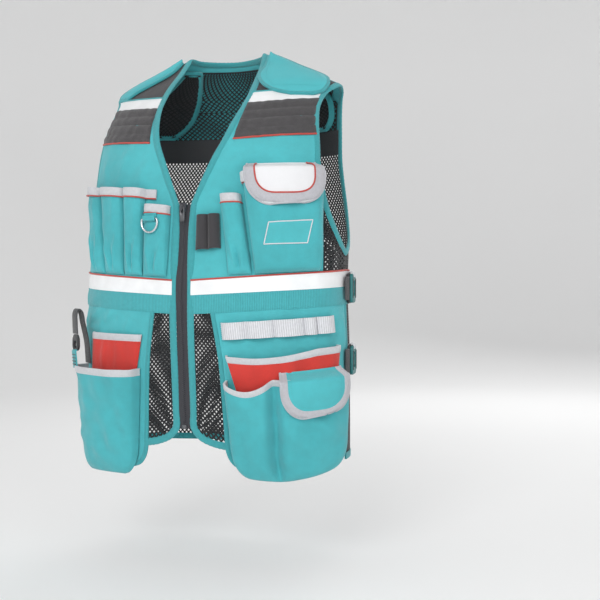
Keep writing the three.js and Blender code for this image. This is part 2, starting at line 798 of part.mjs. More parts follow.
const RED = {
  top: [[69, -475], [241, -461]],
  bottom: [[90, -548], [230, -542]],
  mouth: 12,
  foot: 9,
  squareness: 5,
};
const HIP_POUCH = {
  top: [[68, -512], [246, -502]],
  bottom: [[90, -656], [236, -646]],
  mouth: 28,
  foot: 18,
  squareness: 5,
  pleat: 0.39,
  wide: [0, 0.03, 0.09, 0.18, 0.29, 0.35, 0.39, 0.43, 0.49, 0.6, 0.7, 0.82, 0.91, 0.97, 1],
  sag: (s, t) => {
    const mouthSag = 14 * Math.sin(Math.PI * Math.min(1, s / 0.39));
    const footSag = 9 * Math.sin(Math.PI * s);
    return between(mouthSag, footSag, t);
  },
};

function hipPockets() {
  pocket("red_pocket", "red", RED);
  pocket("hip_pouch", "teal", HIP_POUCH);
  flap("hip_flap", "teal", {
    top: [[148, -497.5], [231, -490]],
    drop: 64,
    base: LAYER + RED.mouth + CLOTH + 1,
    over: HIP_POUCH.mouth + CLOTH + 5.6,
    lean: 2,
  });
  loopWall("hip_loops", "grey", {
    top: [[63, -426], [233, -416]],
    bottom: [[65, -451], [235, -441]],
    stitches: [0, 0.21, 0.45, 0.71, 0.82, 1],
    rise: 9,
  });
}

const HOLSTER = {
  top: [[73, -498], [202, -497]],
  bottom: [[98, -662], [193, -664]],
  mouth: 32,
  foot: 20,
  squareness: 3,
  mirror: true,
};
const HOLSTER_BACK = {
  top: [[68, -446.5], [174, -445]],
  bottom: [[92, -560], [186, -560]],
  mouth: 5,
  foot: 4,
  squareness: 5,
  mirror: true,
};

function holster() {
  pocket("holster_back", "red", HOLSTER_BACK);
  pocket("holster_pouch", "teal", HOLSTER);
}

// Hard pieces stand in a local frame on the form: X along the girth, Y outwards, Z up
function localFrame(across, level, lift) {
  const origin = lifted("front", across, level, lift);
  const ahead = lifted("front", across + 2, level, lift).sub(lifted("front", across - 2, level, lift));
  const along = new THREE.Vector3(ahead.x, ahead.y, 0).normalize();
  const up = new THREE.Vector3(0, 0, 1);
  const out = new THREE.Vector3().crossVectors(along, up).normalize();
  return new THREE.Matrix4().makeBasis(along, out.clone().negate(), up).setPosition(origin);
}

function toManifold(geometry) {
  const bare = geometry.index ? geometry.toNonIndexed() : geometry.clone();
  bare.deleteAttribute("normal");
  bare.deleteAttribute("uv");
  const merged = mergeVertices(bare, 1e-4);
  return new wasm.Manifold(
    new wasm.Mesh({
      numProp: 3,
      vertProperties: new Float32Array(merged.attributes.position.array),
      triVerts: new Uint32Array(merged.index.array),
    }),
  );
}

function toGeometry(solid) {
  const mesh = solid.getMesh();
  const geometry = new THREE.BufferGeometry();
  geometry.setAttribute("position", new THREE.BufferAttribute(new Float32Array(mesh.vertProperties), 3));
  geometry.setIndex(new THREE.BufferAttribute(new Uint32Array(mesh.triVerts), 1));
  return geometry;
}

function box(width, depth, height, x, y, z) {
  return new THREE.BoxGeometry(width, depth, height).translate(x, y, z);
}

// A round bar swept along a closed path of points
function closedBar(path, radius, sides) {
  const points = [];
  const count = path.length;
  path.forEach((point, i) => {
    const before = path[(i + count - 1) % count];
    const after = path[(i + 1) % count];
    const along = after.clone().sub(before).normalize();
    const out = new THREE.Vector3(0, 1, 0);
    const side = new THREE.Vector3().crossVectors(along, out).normalize();
    for (let k = 0; k < sides; k += 1) {
      const turn = (2 * Math.PI * k) / sides;
      const rim = point.clone().addScaledVector(side, radius * Math.cos(turn));
      points.push(rim.addScaledVector(out, radius * Math.sin(turn)));
    }
  });
  const triangles = [];
  for (let i = 0; i < count; i += 1) {
    for (let k = 0; k < sides; k += 1) {
      const a = i * sides + k;
      const b = i * sides + ((k + 1) % sides);
      const c = ((i + 1) % count) * sides + ((k + 1) % sides);
      const d = ((i + 1) % count) * sides + k;
      triangles.push([a, b, c], [a, c, d]);
    }
  }
  return fromTriangles(points, triangles);
}

const ZIP = { halfWidth: 9.2, teeth: 3, top: -251, bottom: -586 };
const SLIDER = { level: -256, width: 11, height: 13, thick: 5, clear: 0.9 };
const BRIDGE = { width: 2, reach: 4.5, height: 11, windowDepth: 2.7, windowHeight: 6.4 };
const PULL = { width: 8, thick: 1.8, length: 22, slotWidth: 3.4, slotLength: 8.6 };

function zip() {
  cloth("zip_chain", "zip", {
    near: (t) => [-ZIP.halfWidth, between(ZIP.top, ZIP.bottom, t)],
    far: (t) => [ZIP.halfWidth, between(ZIP.top, ZIP.bottom, t)],
    wide: [0, 0.3, 0.34, 0.66, 0.7, 1],
    down: 7,
    high: (s) => (Math.abs(s - 0.5) < 0.2 ? ZIP.teeth : CLOTH),
  });
  const frame = localFrame(0.02, SLIDER.level, ZIP.teeth + SLIDER.clear + SLIDER.thick / 2);
  const face = -SLIDER.thick / 2;
  const body = toManifold(box(SLIDER.width, SLIDER.thick, SLIDER.height, 0, 0, 0));
  const archY = face + 0.5 - BRIDGE.reach / 2;
  const arch = toManifold(box(BRIDGE.width, BRIDGE.reach + 1, BRIDGE.height, 0, archY, 0));
  const windowY = face - BRIDGE.windowDepth / 2;
  const window = toManifold(box(2 * BRIDGE.width, BRIDGE.windowDepth, BRIDGE.windowHeight, 0, windowY, 0));
  const slider = addPiece("zip_slider", toGeometry(body.add(arch.subtract(window))), "zip");
  slider.applyMatrix4(frame);
  const half = PULL.thick / 2;
  const plate = toManifold(box(PULL.width, PULL.thick, PULL.length, 0, 0, half - PULL.length / 2));
  const slot = toManifold(box(PULL.slotWidth, 6, PULL.slotLength, 0, 0, -half - PULL.slotLength / 2));
  const pull = addPiece("zip_pull", toGeometry(plate.subtract(slot)), "metal");
  pull.applyMatrix4(frame.clone().multiply(new THREE.Matrix4().makeTranslation(0, windowY, 0)));
}

// D-ring: the straight bar lies in the tab's loop and the bow hangs below it
const RING = { across: -46.5, level: -274, wire: 1.6, halfWidth: 13.5, shoulder: 6, drop: 20, sides: 6 };
const TAB = { width: 21, thick: 1.6, height: 15, clear: 0.5, backHeight: 10.4 };
const RING_LIFT = LAYER + PEN_DEPTH + CLOTH + 2.95;

function dRing() {
  const frame = localFrame(RING.across, RING.level, RING_LIFT);
  const path = [
    [-RING.halfWidth, 0],
    [-4, 0],
    [4, 0],
    [RING.halfWidth, 0],
    [RING.halfWidth, -RING.shoulder],
  ].map(([x, z]) => new THREE.Vector3(x, 0, z));
  for (let i = 1; i < 8; i += 1) {
    const turn = (Math.PI * i) / 8;
    const sink = RING.shoulder + (RING.drop - RING.shoulder) * Math.sin(turn);
    path.push(new THREE.Vector3(RING.halfWidth * Math.cos(turn), 0, -sink));
  }
  path.push(new THREE.Vector3(-RING.halfWidth, 0, -RING.shoulder));
  const ring = addPiece("d_ring", closedBar(path, RING.wire, RING.sides), "metal");
  ring.applyMatrix4(frame);
  const shape = new THREE.Shape();
  const inner = RING.wire + TAB.clear;
  const outer = inner + TAB.thick;
  shape.moveTo(inner, TAB.height);
  shape.lineTo(inner, 0);
  shape.absarc(0, 0, inner, 0, -Math.PI, true);
  shape.lineTo(-inner, TAB.backHeight);
  shape.lineTo(-outer, TAB.backHeight);
  shape.lineTo(-outer, 0);
  shape.absarc(0, 0, outer, -Math.PI, 0, false);
  shape.lineTo(outer, TAB.height);
  shape.closePath();
  const tab = new THREE.ExtrudeGeometry(shape, { depth: TAB.width, bevelEnabled: false, curveSegments: 6 });
  tab.translate(0, 0, -TAB.width / 2);
  tab.applyMatrix4(new THREE.Matrix4().makeBasis(
    new THREE.Vector3(0, 1, 0),
    new THREE.Vector3(0, 0, 1),
    new THREE.Vector3(1, 0, 0),
  ));
  const piece = addPiece("ring_tab", toGeometry(toManifold(tab)), "teal");
  piece.applyMatrix4(frame);
}

// Retention strap of the holster: a folded webbing loop and the snap ring that it holds
const STRAP_PATH = [
  { lift: 9.5, level: -494 },
  { lift: 11.4, level: -462 },
  { lift: 18, level: -430 },
  { lift: 22.5, level: -412 },
  { lift: 27, level: -409 },
  { lift: 30, level: -414 },
  { lift: 30.5, level: -430 },
  { lift: 30, level: -447.3 },
];
const STRAP = { across: -187, halfWidth: 11, halfThick: 1 };
const CLIP = { width: 24, thick: 5, height: 26, eye: 6, eyeDrop: 3, level: -461, lift: 29 };

function retention() {
  const grid = (extra) =>
    STRAP_PATH.map((row, i) => {
      const before = STRAP_PATH[Math.max(0, i - 1)];
      const after = STRAP_PATH[Math.min(STRAP_PATH.length - 1, i + 1)];
      const length = Math.hypot(after.lift - before.lift, after.level - before.level);
      const out = (extra * (after.level - before.level)) / length;
      const up = (-extra * (after.lift - before.lift)) / length;
      return [-STRAP.halfWidth, 0, STRAP.halfWidth].map((side) =>
        lifted("front", STRAP.across + side, row.level + up, row.lift + out),
      );
    });
  addPiece("retention_strap", closedSheet(grid(STRAP.halfThick), grid(-STRAP.halfThick)), "dark");
  const frame = localFrame(STRAP.across, CLIP.level, CLIP.lift);
  const plate = toManifold(box(CLIP.width, CLIP.thick, CLIP.height, 0, 0, 0));
  const bore = new THREE.CylinderGeometry(CLIP.eye, CLIP.eye, 2 * CLIP.thick, 12);
  const eye = toManifold(bore.translate(0, 0, -CLIP.eyeDrop));
  const clip = addPiece("retention_clip", toGeometry(plate.subtract(eye)), "plastic");
  clip.applyMatrix4(frame);
}

// Side buckles: fastened side-release buckles on the webbing at each side seam
const BUCKLES = [
  { name: "upper", level: -376, standOff: 2.3 },
  { name: "lower", level: -486, standOff: 0.5 },
];
const BUCKLE = { height: 48, length: 36, thick: 10, setBack: 17, rear: 5, nose: 10 };

function sideBuckles() {
  const outline = new THREE.Shape();
  const { rear, nose } = BUCKLE;
  const halfLength = BUCKLE.length / 2;
  const halfHeight = BUCKLE.height / 2;
  outline.moveTo(-halfLength, -halfHeight + rear);
  outline.quadraticCurveTo(-halfLength, -halfHeight, -halfLength + rear, -halfHeight);
  outline.lineTo(halfLength - nose, -halfHeight);
  outline.quadraticCurveTo(halfLength, -halfHeight + 2, halfLength, -halfHeight + nose);
  outline.lineTo(halfLength, halfHeight - nose);
  outline.quadraticCurveTo(halfLength, halfHeight - 2, halfLength - nose, halfHeight);
  outline.lineTo(-halfLength + rear, halfHeight);
  outline.quadraticCurveTo(-halfLength, halfHeight, -halfLength, halfHeight - rear);
  const plate = new THREE.ExtrudeGeometry(outline, {
    depth: BUCKLE.thick,
    bevelEnabled: false,
    curveSegments: 4,
  });
  plate.translate(0, 0, -BUCKLE.thick / 2);
  plate.rotateX(Math.PI / 2);
  for (const [suffix, hand] of [["l", 1], ["r", -1]]) {
    for (const buckle of BUCKLES) {
      const across = hand * (ringAt(buckle.level).side + BUCKLE.setBack);
      const name = `side_buckle_${buckle.name}_${suffix}`;
      const piece = addPiece(name, toGeometry(toManifold(plate)), "plastic");
      piece.applyMatrix4(localFrame(across, buckle.level, buckle.standOff + BUCKLE.thick / 2));
    }
  }
}

frontShell();
waist();
skirts();
backShell();
bindings();
shoulderPads();
penPockets();
chestPockets();
hipPockets();
holster();
zip();
dRing();
retention();
sideBuckles();

export default vest;
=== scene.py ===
"""Utility work vest: the looks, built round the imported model. Sizes are in millimetres."""

import math
from dataclasses import dataclass

import bpy
import numpy as np
from bpy.props import FloatProperty, FloatVectorProperty, PointerProperty
from mathutils import Matrix, Vector


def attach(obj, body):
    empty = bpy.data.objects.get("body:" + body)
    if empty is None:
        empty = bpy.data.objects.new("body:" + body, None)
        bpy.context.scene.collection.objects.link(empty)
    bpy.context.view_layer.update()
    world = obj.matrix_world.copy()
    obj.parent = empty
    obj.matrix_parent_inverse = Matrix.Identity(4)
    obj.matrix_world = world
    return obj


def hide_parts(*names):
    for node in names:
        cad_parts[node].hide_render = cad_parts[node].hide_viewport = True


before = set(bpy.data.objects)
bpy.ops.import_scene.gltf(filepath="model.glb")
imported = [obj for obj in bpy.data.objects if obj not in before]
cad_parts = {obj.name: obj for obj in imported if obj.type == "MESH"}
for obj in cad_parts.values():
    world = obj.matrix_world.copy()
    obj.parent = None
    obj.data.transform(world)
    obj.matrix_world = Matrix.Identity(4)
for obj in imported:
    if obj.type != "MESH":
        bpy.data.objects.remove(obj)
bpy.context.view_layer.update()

bl_info = {
    "name": "Utility Work Vest",
    "version": (1, 0, 0),
    "blender": (4, 5, 0),
    "location": "3D View > Sidebar > Vest",
    "description": "Dresses the packed vest in cloth, mesh, bindings, webbing and trim",
    "category": "Object",
}

MM = 0.001
BODY = "vest"

FINISHES = {}
SEWING = {}


def rows(columns, *values):
    """A table as a dictionary of arrays, one for each named column."""
    return {name: np.array(column, float) for name, column in zip(columns.split(), zip(*values))}


# The torso form: a section at each level
FORM = rows(
    "level half front back widest power",
    (0, 61, 43, 85, 45, 1.6),
    (-15, 97, 28, 95, 45, 1.6),
    (-30, 130, 12, 105, 45, 1.6),
    (-45, 164, -6, 112, 45, 1.6),
    (-60, 195, -22, 118, 45, 1.65),
    (-78, 201, -39, 123, 43, 1.8),
    (-100, 203, -58, 127, 41, 2.05),
    (-130, 205, -79, 130, 38, 2.3),
    (-160, 206.5, -92, 131, 35, 2.4),
    (-200, 208, -101, 129, 30, 2.45),
    (-250, 210, -107, 124, 22, 2.4),
    (-330, 213, -114, 115, 10, 2.35),
    (-370, 213, -119, 111, 5, 2.35),
    (-450, 216, -116, 112, 3, 2.35),
    (-600, 216, -107, 115, 2, 2.35),
    (-700, 216, -105, 116, 2, 2.35),
)
LOWEST = -700

# Edges of the garment: across is the girth from centre front or centre back
NECK = rows(
    "level edge inner drop",
    (-1, 63.3, 72.4, 3.2),
    (-10, 64.5, 74, 1),
    (-19, 66, 75.5, 1),
    (-49, 70, 79, 1),
    (-80, 71, 80, 0),
    (-97, 69, 78, 1),
    (-124, 62, 71, 2),
    (-155, 52, 61, 3),
    (-178, 41, 49, 5),
    (-210, 27, 35, 5),
    (-243, 13, 20.5, 4),
    (-252, 9.5, 19, 2),
)
ARM_FRONT = rows(
    "level edge inner drop",
    (-61, 213.5, 203.5, -4),
    (-66, 203, 194, -4),
    (-74, 194, 185, -3),
    (-85, 190, 181, -1),
    (-100, 189, 180, 0),
    (-124, 194, 185, 1),
    (-162, 203, 194, 1),
    (-192, 207, 198, 1),
    (-217, 213, 204, 3),
    (-253, 225, 216.5, 4),
    (-288, 246, 239, 6),
    (-306, 262, 257, 7.5),
    (-316, 276.5, 276.5, 9),
)
ARM_BACK = rows(
    "level edge inner drop",
    (-61, 215.5, 206, -4),
    (-68, 208, 199, -4),
    (-78, 203, 194, -1),
    (-100, 195, 186, 0),
    (-130, 190, 181, 0),
    (-170, 189, 180, 0),
    (-210, 198, 189, 1),
    (-237, 208, 199, 3),
    (-275, 224, 216, 5),
    (-299, 240, 234, 7),
    (-310, 252, 248, 8),
    (-316, 262.5, 262.5, 9),
)
HEM_CORNER = rows(
    "level edge inner drop",
    (-249, 10.6, 19.4, 0),
    (-256, 9.5, 19, 0),
    (-400, 9.5, 19, 0),
    (-560, 9.5, 19, 0),
    (-586, 9.8, 19.5, -3),
    (-602, 23.5, 30, -7),
    (-611, 44, 46, -9),
    (-616, 70, 70, -9.5),
)
SIDE_EDGE = rows("level across", (-217, 203.2), (-236, 208), (-270, 213), (-350, 216))
HIP_EDGE = rows("level across", (-414, 50), (-480, 60), (-560, 65), (-620, 68))
PLACKET = 19
SEAM = 277
UNDER_BINDING = 3.5
ARM_FOOT = -325

# Levels of the bands at the zip or neck end, and at the side end
YOKE_BOTTOM = (-76, -68)
CHEST_TAPE_BOTTOM = (-95, -86)
PAD_BOTTOM = (-154, -145)
TAPE_TOP = (-364, -348)
TAPE_BOTTOM = (-386, -373)
BAND_BOTTOM = (-414, -400)

CLOTH = 1.8
LAYER = 2.6


def at(table, key, level):
    """The smooth value of a table's column at a level, as the solids have it."""
    level = np.asarray(level, float)
    known, values = table["level"], table[key]
    slope = np.diff(values) / np.diff(known)
    tangent = np.concatenate([slope[:1], (slope[:-1] + slope[1:]) / 2, slope[-1:]])
    inside = np.clip(level, known[-1], known[0])
    i = np.clip(np.searchsorted(-known, -inside, side="right") - 1, 0, len(known) - 2)
    span = known[i + 1] - known[i]
    t = (inside - known[i]) / span
    ease = t * t * (3 - 2 * t)
    lead = t * (1 - t) ** 2 * span * tangent[i]
    trail = t * t * (1 - t) * span * tangent[i + 1]
    return values[i] + (values[i + 1] - values[i]) * ease + lead - trail


def sampled_form(turns=240, shares=600):
    """Half sections of the form, one each millimetre down, sampled evenly along their girth."""
    levels = np.arange(0, LOWEST - 1, -1.0)
    half, front, back, widest, power = (
        at(FORM, key, levels)[:, None] for key in ("half", "front", "back", "widest", "power")
    )
    turn = np.linspace(0, math.pi, turns + 1)[None, :]
    cosine = np.where(np.abs(np.cos(turn)) < 1e-9, 0, np.cos(turn))
    x = half * np.abs(np.sin(turn)) ** (2 / power)
    reach = np.where(cosine > 0, widest - front, back - widest)
    y = widest - reach * np.sign(cosine) * np.abs(cosine) ** (2 / power)
    steps = np.hypot(np.diff(x, axis=1), np.diff(y, axis=1))
    run = np.concatenate([np.zeros((len(levels), 1)), np.cumsum(steps, axis=1)], axis=1)
    share = np.linspace(0, 1, shares + 1)
    even_x = np.array([np.interp(share * r[-1], r, row) for r, row in zip(run, x)])
    even_y = np.array([np.interp(share * r[-1], r, row) for r, row in zip(run, y)])
    return even_x, even_y, run[:, -1], run[:, turns // 2]


FORM_X, FORM_Y, GIRTH, FRONT_GIRTH = sampled_form()


def girth(level):
    return np.interp(-np.asarray(level, float), np.arange(len(GIRTH)), GIRTH)


def side(level):
    """The girth from centre front to the side seam."""
    return np.interp(-np.asarray(level, float), np.arange(len(GIRTH)), FRONT_GIRTH)


def on_form(front, across, level):
    across, level, front = np.broadcast_arrays(
        np.asarray(across, float), np.asarray(level, float), np.asarray(front)
    )
    total = girth(level)
    run = np.where(front, np.abs(across), total - np.abs(across))
    share = np.clip(run / total, 0, 1) * (FORM_X.shape[1] - 1)
    down = np.clip(-level, 0, len(GIRTH) - 1.001)
    i, j = down.astype(int), np.clip(share.astype(int), 0, FORM_X.shape[1] - 2)
    a, b = down - i, share - j

    def blended(values):
        top = values[i, j] * (1 - b) + values[i, j + 1] * b
        bottom = values[i + 1, j] * (1 - b) + values[i + 1, j + 1] * b
        return top * (1 - a) + bottom * a

    return np.stack([np.sign(across) * blended(FORM_X), blended(FORM_Y), level], axis=-1)


def unit(vectors):
    return vectors / np.maximum(np.linalg.norm(vectors, axis=-1, keepdims=True), 1e-12)


PROBE = 1.5


def outward(front, across, level):
    """The form's outward direction."""
    across, level, front = np.broadcast_arrays(
        np.asarray(across, float), np.asarray(level, float), np.asarray(front)
    )
    across = np.where(across == 0, 0.01, across)
    ahead = on_form(front, across + PROBE, level) - on_form(front, across - PROBE, level)
    high = np.minimum(level + PROBE, 0)
    down = on_form(front, across, high) - on_form(front, across, high - 2 * PROBE)
    normal = unit(np.cross(ahead, down))
    return np.where(np.asarray(front)[..., None], normal, -normal)


def lifted(front, across, level, lift):
    across = np.where(np.asarray(across, float) == 0, 0.01, across)
    lift = np.asarray(lift, float)
    return on_form(front, across, level) + outward(front, across, level) * lift[..., None]


# Folds and rumples of the cloth


def rumple(u, v, size, seed, waves=12):
    """A smooth seeded unevenness of about one unit, over distances of about size."""
    random = np.random.default_rng(seed)
    total = 0
    for turn, phase, stretch in random.uniform((0, 0, 0.7), (math.pi, 2 * math.pi, 1.5), (waves, 3)):
        along = u * math.cos(turn) + v * math.sin(turn)
        total = total + np.cos(along * 2 * math.pi / (size * stretch) + phase)
    return total / math.sqrt(waves)


def crease(u, v, from_u, from_v, to_u, to_v, width, depth):
    """A soft ridge, or with a negative depth a furrow, between two points."""
    du, dv = to_u - from_u, to_v - from_v
    t = np.clip(((u - from_u) * du + (v - from_v) * dv) / (du * du + dv * dv), 0, 1)
    distance = np.hypot(u - from_u - t * du, v - from_v - t * dv)
    fade = np.sin(math.pi * np.clip(t, 0.0, 1.0)) ** 0.6
    q = (distance / (width * (0.45 + 0.55 * fade))) ** 2
    return depth * fade * (1 - 0.7 * q) * np.exp(-q)


def folded(u, v, table):
    return sum(crease(u, v, *row) for row in table)


# Furrows and ridges: from across, from level, to across, to level, width, depth
PANEL_FOLDS_L = (
    (66, -205, 96, -262, 11, 1.6),
    (44, -262, 60, -350, 9, 1.3),
    (40, -196, 150, -172, 13, 1.3),
    (30, -330, 66, -362, 8, 1.8),
    (100, -160, 196, -182, 12, 1.1),
    (120, -180, 70, -214, 10, -1.2),
)
PANEL_FOLDS_R = (
    (70, -170, 84, -236, 13, 1.8),
    (110, -160, 128, -222, 13, 1.6),
    (160, -165, 168, -212, 12, 1.3),
    (40, -200, 58, -262, 9, -1.3),
    (26, -300, 22, -356, 6, 1.2),
    (188, -170, 206, -240, 9, 1.4),
)
HIP_FOLDS_L = (
    (262, -414, 271, -470, 9, 3.6),
    (274, -420, 268, -500, 6, -2.0),
    (120, -405, 190, -420, 8, 0.8),
    (70, -418, 90, -470, 8, 0.8),
)
HIP_FOLDS_R = (
    (150, -404, 206, -431, 9, 4.0),
    (128, -406, 146, -430, 8, 3.0),
    (170, -436, 222, -440, 8, 3.2),
    (206, -404, 232, -452, 9, 3.2),
    (118, -420, 168, -446, 8, -2.6),
    (232, -410, 262, -470, 10, 3.0),
    (90, -418, 104, -444, 8, 1.6),
)
BACK_FOLDS = (
    (-120, -60, -40, -118, 16, 1.6),
    (130, -70, 60, -116, 16, 1.5),
    (-160, -96, -150, -148, 12, 1.6),
    (150, -100, 168, -148, 12, 1.4),
)


@dataclass
class Patch:
    """Cloth on the form between a near and a far edge; s runs across and t runs down."""

    near: object
    far: object
    lift: object
    front: bool = True
    hand: int = 1
    sag: object = None

    def spot(self, s, t):
        near_across, near_level = self.near(t)
        far_across, far_level = self.far(t)
        across = near_across + (far_across - near_across) * s
        level = near_level + (far_level - near_level) * s
        if self.sag:
            level = level - self.sag(s, t)
        return self.hand * across, level

    def points(self, s, t, extra=0):
        s, t = np.broadcast_arrays(np.asarray(s, float), np.asarray(t, float))
        across, level = self.spot(s, t)
        return lifted(self.front, across, level, self.lift(s, t, across, level) + extra)

    def normals(self, s, t):
        s, t = np.broadcast_arrays(np.asarray(s, float), np.asarray(t, float))
        step = 0.004
        low_s, high_s = np.clip(s - step, 0, 1), np.clip(s + step, 0, 1)
        low_t, high_t = np.clip(t - step, 0, 1), np.clip(t + step, 0, 1)
        ahead = self.points(high_s, t) - self.points(low_s, t)
        down = self.points(s, high_t) - self.points(s, low_t)
        normal = unit(np.cross(ahead, down))
        across, level = self.spot(s, t)
        away = outward(self.front, across, level)
        facing = np.sign((normal * away).sum(axis=-1))
        return normal * np.where(facing == 0, 1, facing)[..., None]

    def size(self):
        """Its mean width and length."""
        place = np.linspace(0, 1, 9)
        grid = self.points(place[None, :], place[:, None])
        width = np.linalg.norm(np.diff(grid, axis=1), axis=-1).sum(axis=1).mean()
        length = np.linalg.norm(np.diff(grid, axis=0), axis=-1).sum(axis=0).mean()
        return width, length


def level_lift(value):
    return lambda s, t, across, level: value + 0 * s


def slanted(top, bottom, near_edge, far_edge):
    """The edges of a band whose top and bottom levels differ at its two ends."""

    def near(t):
        level = top[0] + (bottom[0] - top[0]) * t
        return near_edge(level), level

    def far(t):
        level = top[1] + (bottom[1] - top[1]) * t
        return far_edge(level), level

    return near, far


def corners(top, bottom):
    def edge(end):
        (across, level), (low_across, low_level) = top[end], bottom[end]
        return lambda t: (across + (low_across - across) * t, level + (low_level - level) * t)

    return edge(0), edge(1)


def neck_side(level):
    inner = at(NECK, "inner", level + at(NECK, "drop", level)) - UNDER_BINDING
    return np.where(level < -253, PLACKET - UNDER_BINDING, inner)


def arm_side(level):
    return np.minimum(at(ARM_FRONT, "inner", level) + UNDER_BINDING, side(level))


def arm_back_side(level):
    return np.minimum(at(ARM_BACK, "inner", level) + UNDER_BINDING, girth(level) - side(level))


def seam_side(level):
    return side(level) - 0.2


def seam_back(level):
    return girth(level) - side(level) - 0.2


# Meshes


def smooth_mesh(mesh, sharp=48):
    mesh.shade_smooth()
    mesh.set_sharp_from_angle(angle=math.radians(sharp))


def signed_volume(points, faces):
    total = 0
    for face in faces:
        corner = points[face[0]]
        for a, b in zip(face[1:-1], face[2:]):
            total += np.dot(corner, np.cross(points[a], points[b]))
    return total


def make_object(name, points, faces, finish, uv=None, sharp=48, closed=True):
    """A piece of the vest from points in millimetres, facing outwards where it is closed."""
    points = np.asarray(points, float).reshape(-1, 3)
    faces = [list(map(int, face)) for face in faces]
    if closed and signed_volume(points, faces) < 0:
        faces = [face[::-1] for face in faces]
    mesh = bpy.data.meshes.new(name)
    mesh.from_pydata((points * MM).tolist(), [], faces)
    mesh.validate()
    if uv is not None:
        layer = mesh.uv_layers.new(name="cloth")
        corner_points = np.empty(len(mesh.loops), dtype=np.int32)
        mesh.loops.foreach_get("vertex_index", corner_points)
        layer.data.foreach_set("uv", (np.asarray(uv, float)[corner_points] * MM).ravel())
    smooth_mesh(mesh, sharp)
    mesh.materials.append(FINISHES[finish])
    piece = bpy.data.objects.new(name, mesh)
    bpy.context.collection.objects.link(piece)
    return piece


def own(piece, body=BODY, replaces=()):
    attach(piece, body)
    if replaces:
        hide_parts(*replaces)
    return piece


def grid_faces(rows_count, columns, offset=0):
    i, j = np.meshgrid(np.arange(rows_count - 1), np.arange(columns - 1), indexing="ij")
    a = offset + i * columns + j
    return np.stack([a, a + columns, a + columns + 1, a + 1], axis=-1).reshape(-1, 4)


def shell_faces(rows_count, columns):
    """Faces of a closed sheet whose outer grid comes before its inner one."""
    count = rows_count * columns
    outer = grid_faces(rows_count, columns)
    inner = grid_faces(rows_count, columns, count)[:, ::-1]
    i = np.arange(rows_count - 1) * columns
    j = np.arange(columns - 1)
    last = (rows_count - 1) * columns
    left = np.stack([i, i + count, i + columns + count, i + columns], axis=-1)
    right = np.stack([i, i + columns, i + columns + count, i + count], axis=-1) + columns - 1
    top = np.stack([j, j + 1, j + 1 + count, j + count], axis=-1)
    bottom = np.stack([j, j + count, j + 1 + count, j + 1], axis=-1)
    bottom[:, [0, 3]] += last
    bottom[:, [1, 2]] += last
    return np.concatenate([outer, inner, left, right, top, bottom])


def grid_uv(grid):
    """Distances along the cloth, so that a weave keeps its size."""
    across = np.linalg.norm(np.diff(grid, axis=1), axis=-1)
    down = np.linalg.norm(np.diff(grid, axis=0), axis=-1)
    u = np.concatenate([np.zeros((grid.shape[0], 1)), np.cumsum(across, axis=1)], axis=1)
    v = np.concatenate([np.zeros((1, grid.shape[1])), np.cumsum(down, axis=0)], axis=0)
    u = u - u[:, u.shape[1] // 2][:, None]
    return np.stack([u, -v], axis=-1)


def grid_area(grid):
    ahead = np.diff(grid, axis=1)[:-1]
    down = np.diff(grid, axis=0)[:, :-1]
    return np.linalg.norm(np.cross(ahead, down), axis=-1).sum()


def declare_cloth(grid):
    """Works out how large the cloth was cut, its longest row and column and its area, but passes none of it
    on.
    """
    width = np.linalg.norm(np.diff(grid, axis=1), axis=-1).sum(axis=1).max()
    length = np.linalg.norm(np.diff(grid, axis=0), axis=-1).sum(axis=0).max()
    area = np.clip(grid_area(grid), 0.31 * width * length, width * length)
    flat = (max(0.0101, width * MM), max(0.0101, length * MM))
    area = min(area * MM * MM, flat[0] * flat[1])


def stations(length, spacing, least=2):
    return np.linspace(0, 1, max(least, math.ceil(length / spacing)) + 1)


def thinned(grid, thick):
    """The inner side of a sheet, along its own normals."""
    ahead = np.gradient(grid, axis=1)
    down = np.gradient(grid, axis=0)
    return grid - unit(np.cross(ahead, down)) * thick


def sheet(name, patch, finish, thick=CLOTH, spacing=4.0, window=(0, 1, 0, 1), **options):
    """Solid cloth over a patch, or over a window of it given by its s and t limits."""
    s0, s1, t0, t1 = window
    width, length = patch.size()
    s = s0 + (s1 - s0) * stations(width * (s1 - s0), spacing)
    t = t0 + (t1 - t0) * stations(length * (t1 - t0), spacing)
    extra = options.get("extra", 0)
    if callable(extra):
        extra = extra((s[None, :] - s0) / (s1 - s0), (t[:, None] - t0) / (t1 - t0))
    outer = patch.points(s[None, :], t[:, None], extra)
    centre = patch.normals(0.5 * (s0 + s1), 0.5 * (t0 + t1))
    inner = thinned(outer, thick)
    middle = (outer.shape[0] // 2, outer.shape[1] // 2)
    if np.dot(outer[middle] - inner[middle], centre) < 0:
        inner = thinned(outer, -thick)
    uv = grid_uv(outer).reshape(-1, 2)
    faces = shell_faces(*outer.shape[:2])
    points = np.concatenate([outer.reshape(-1, 3), inner.reshape(-1, 3)])
    piece = make_object(name, points, faces, finish, np.concatenate([uv, uv]))
    own(piece, replaces=options.get("replaces", ()))
    if options.get("fill") is not None:
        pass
    elif options.get("declared", True):
        declare_cloth(outer)
    return piece


NET_PITCH = 7.0
NET_HOLE = 0.56


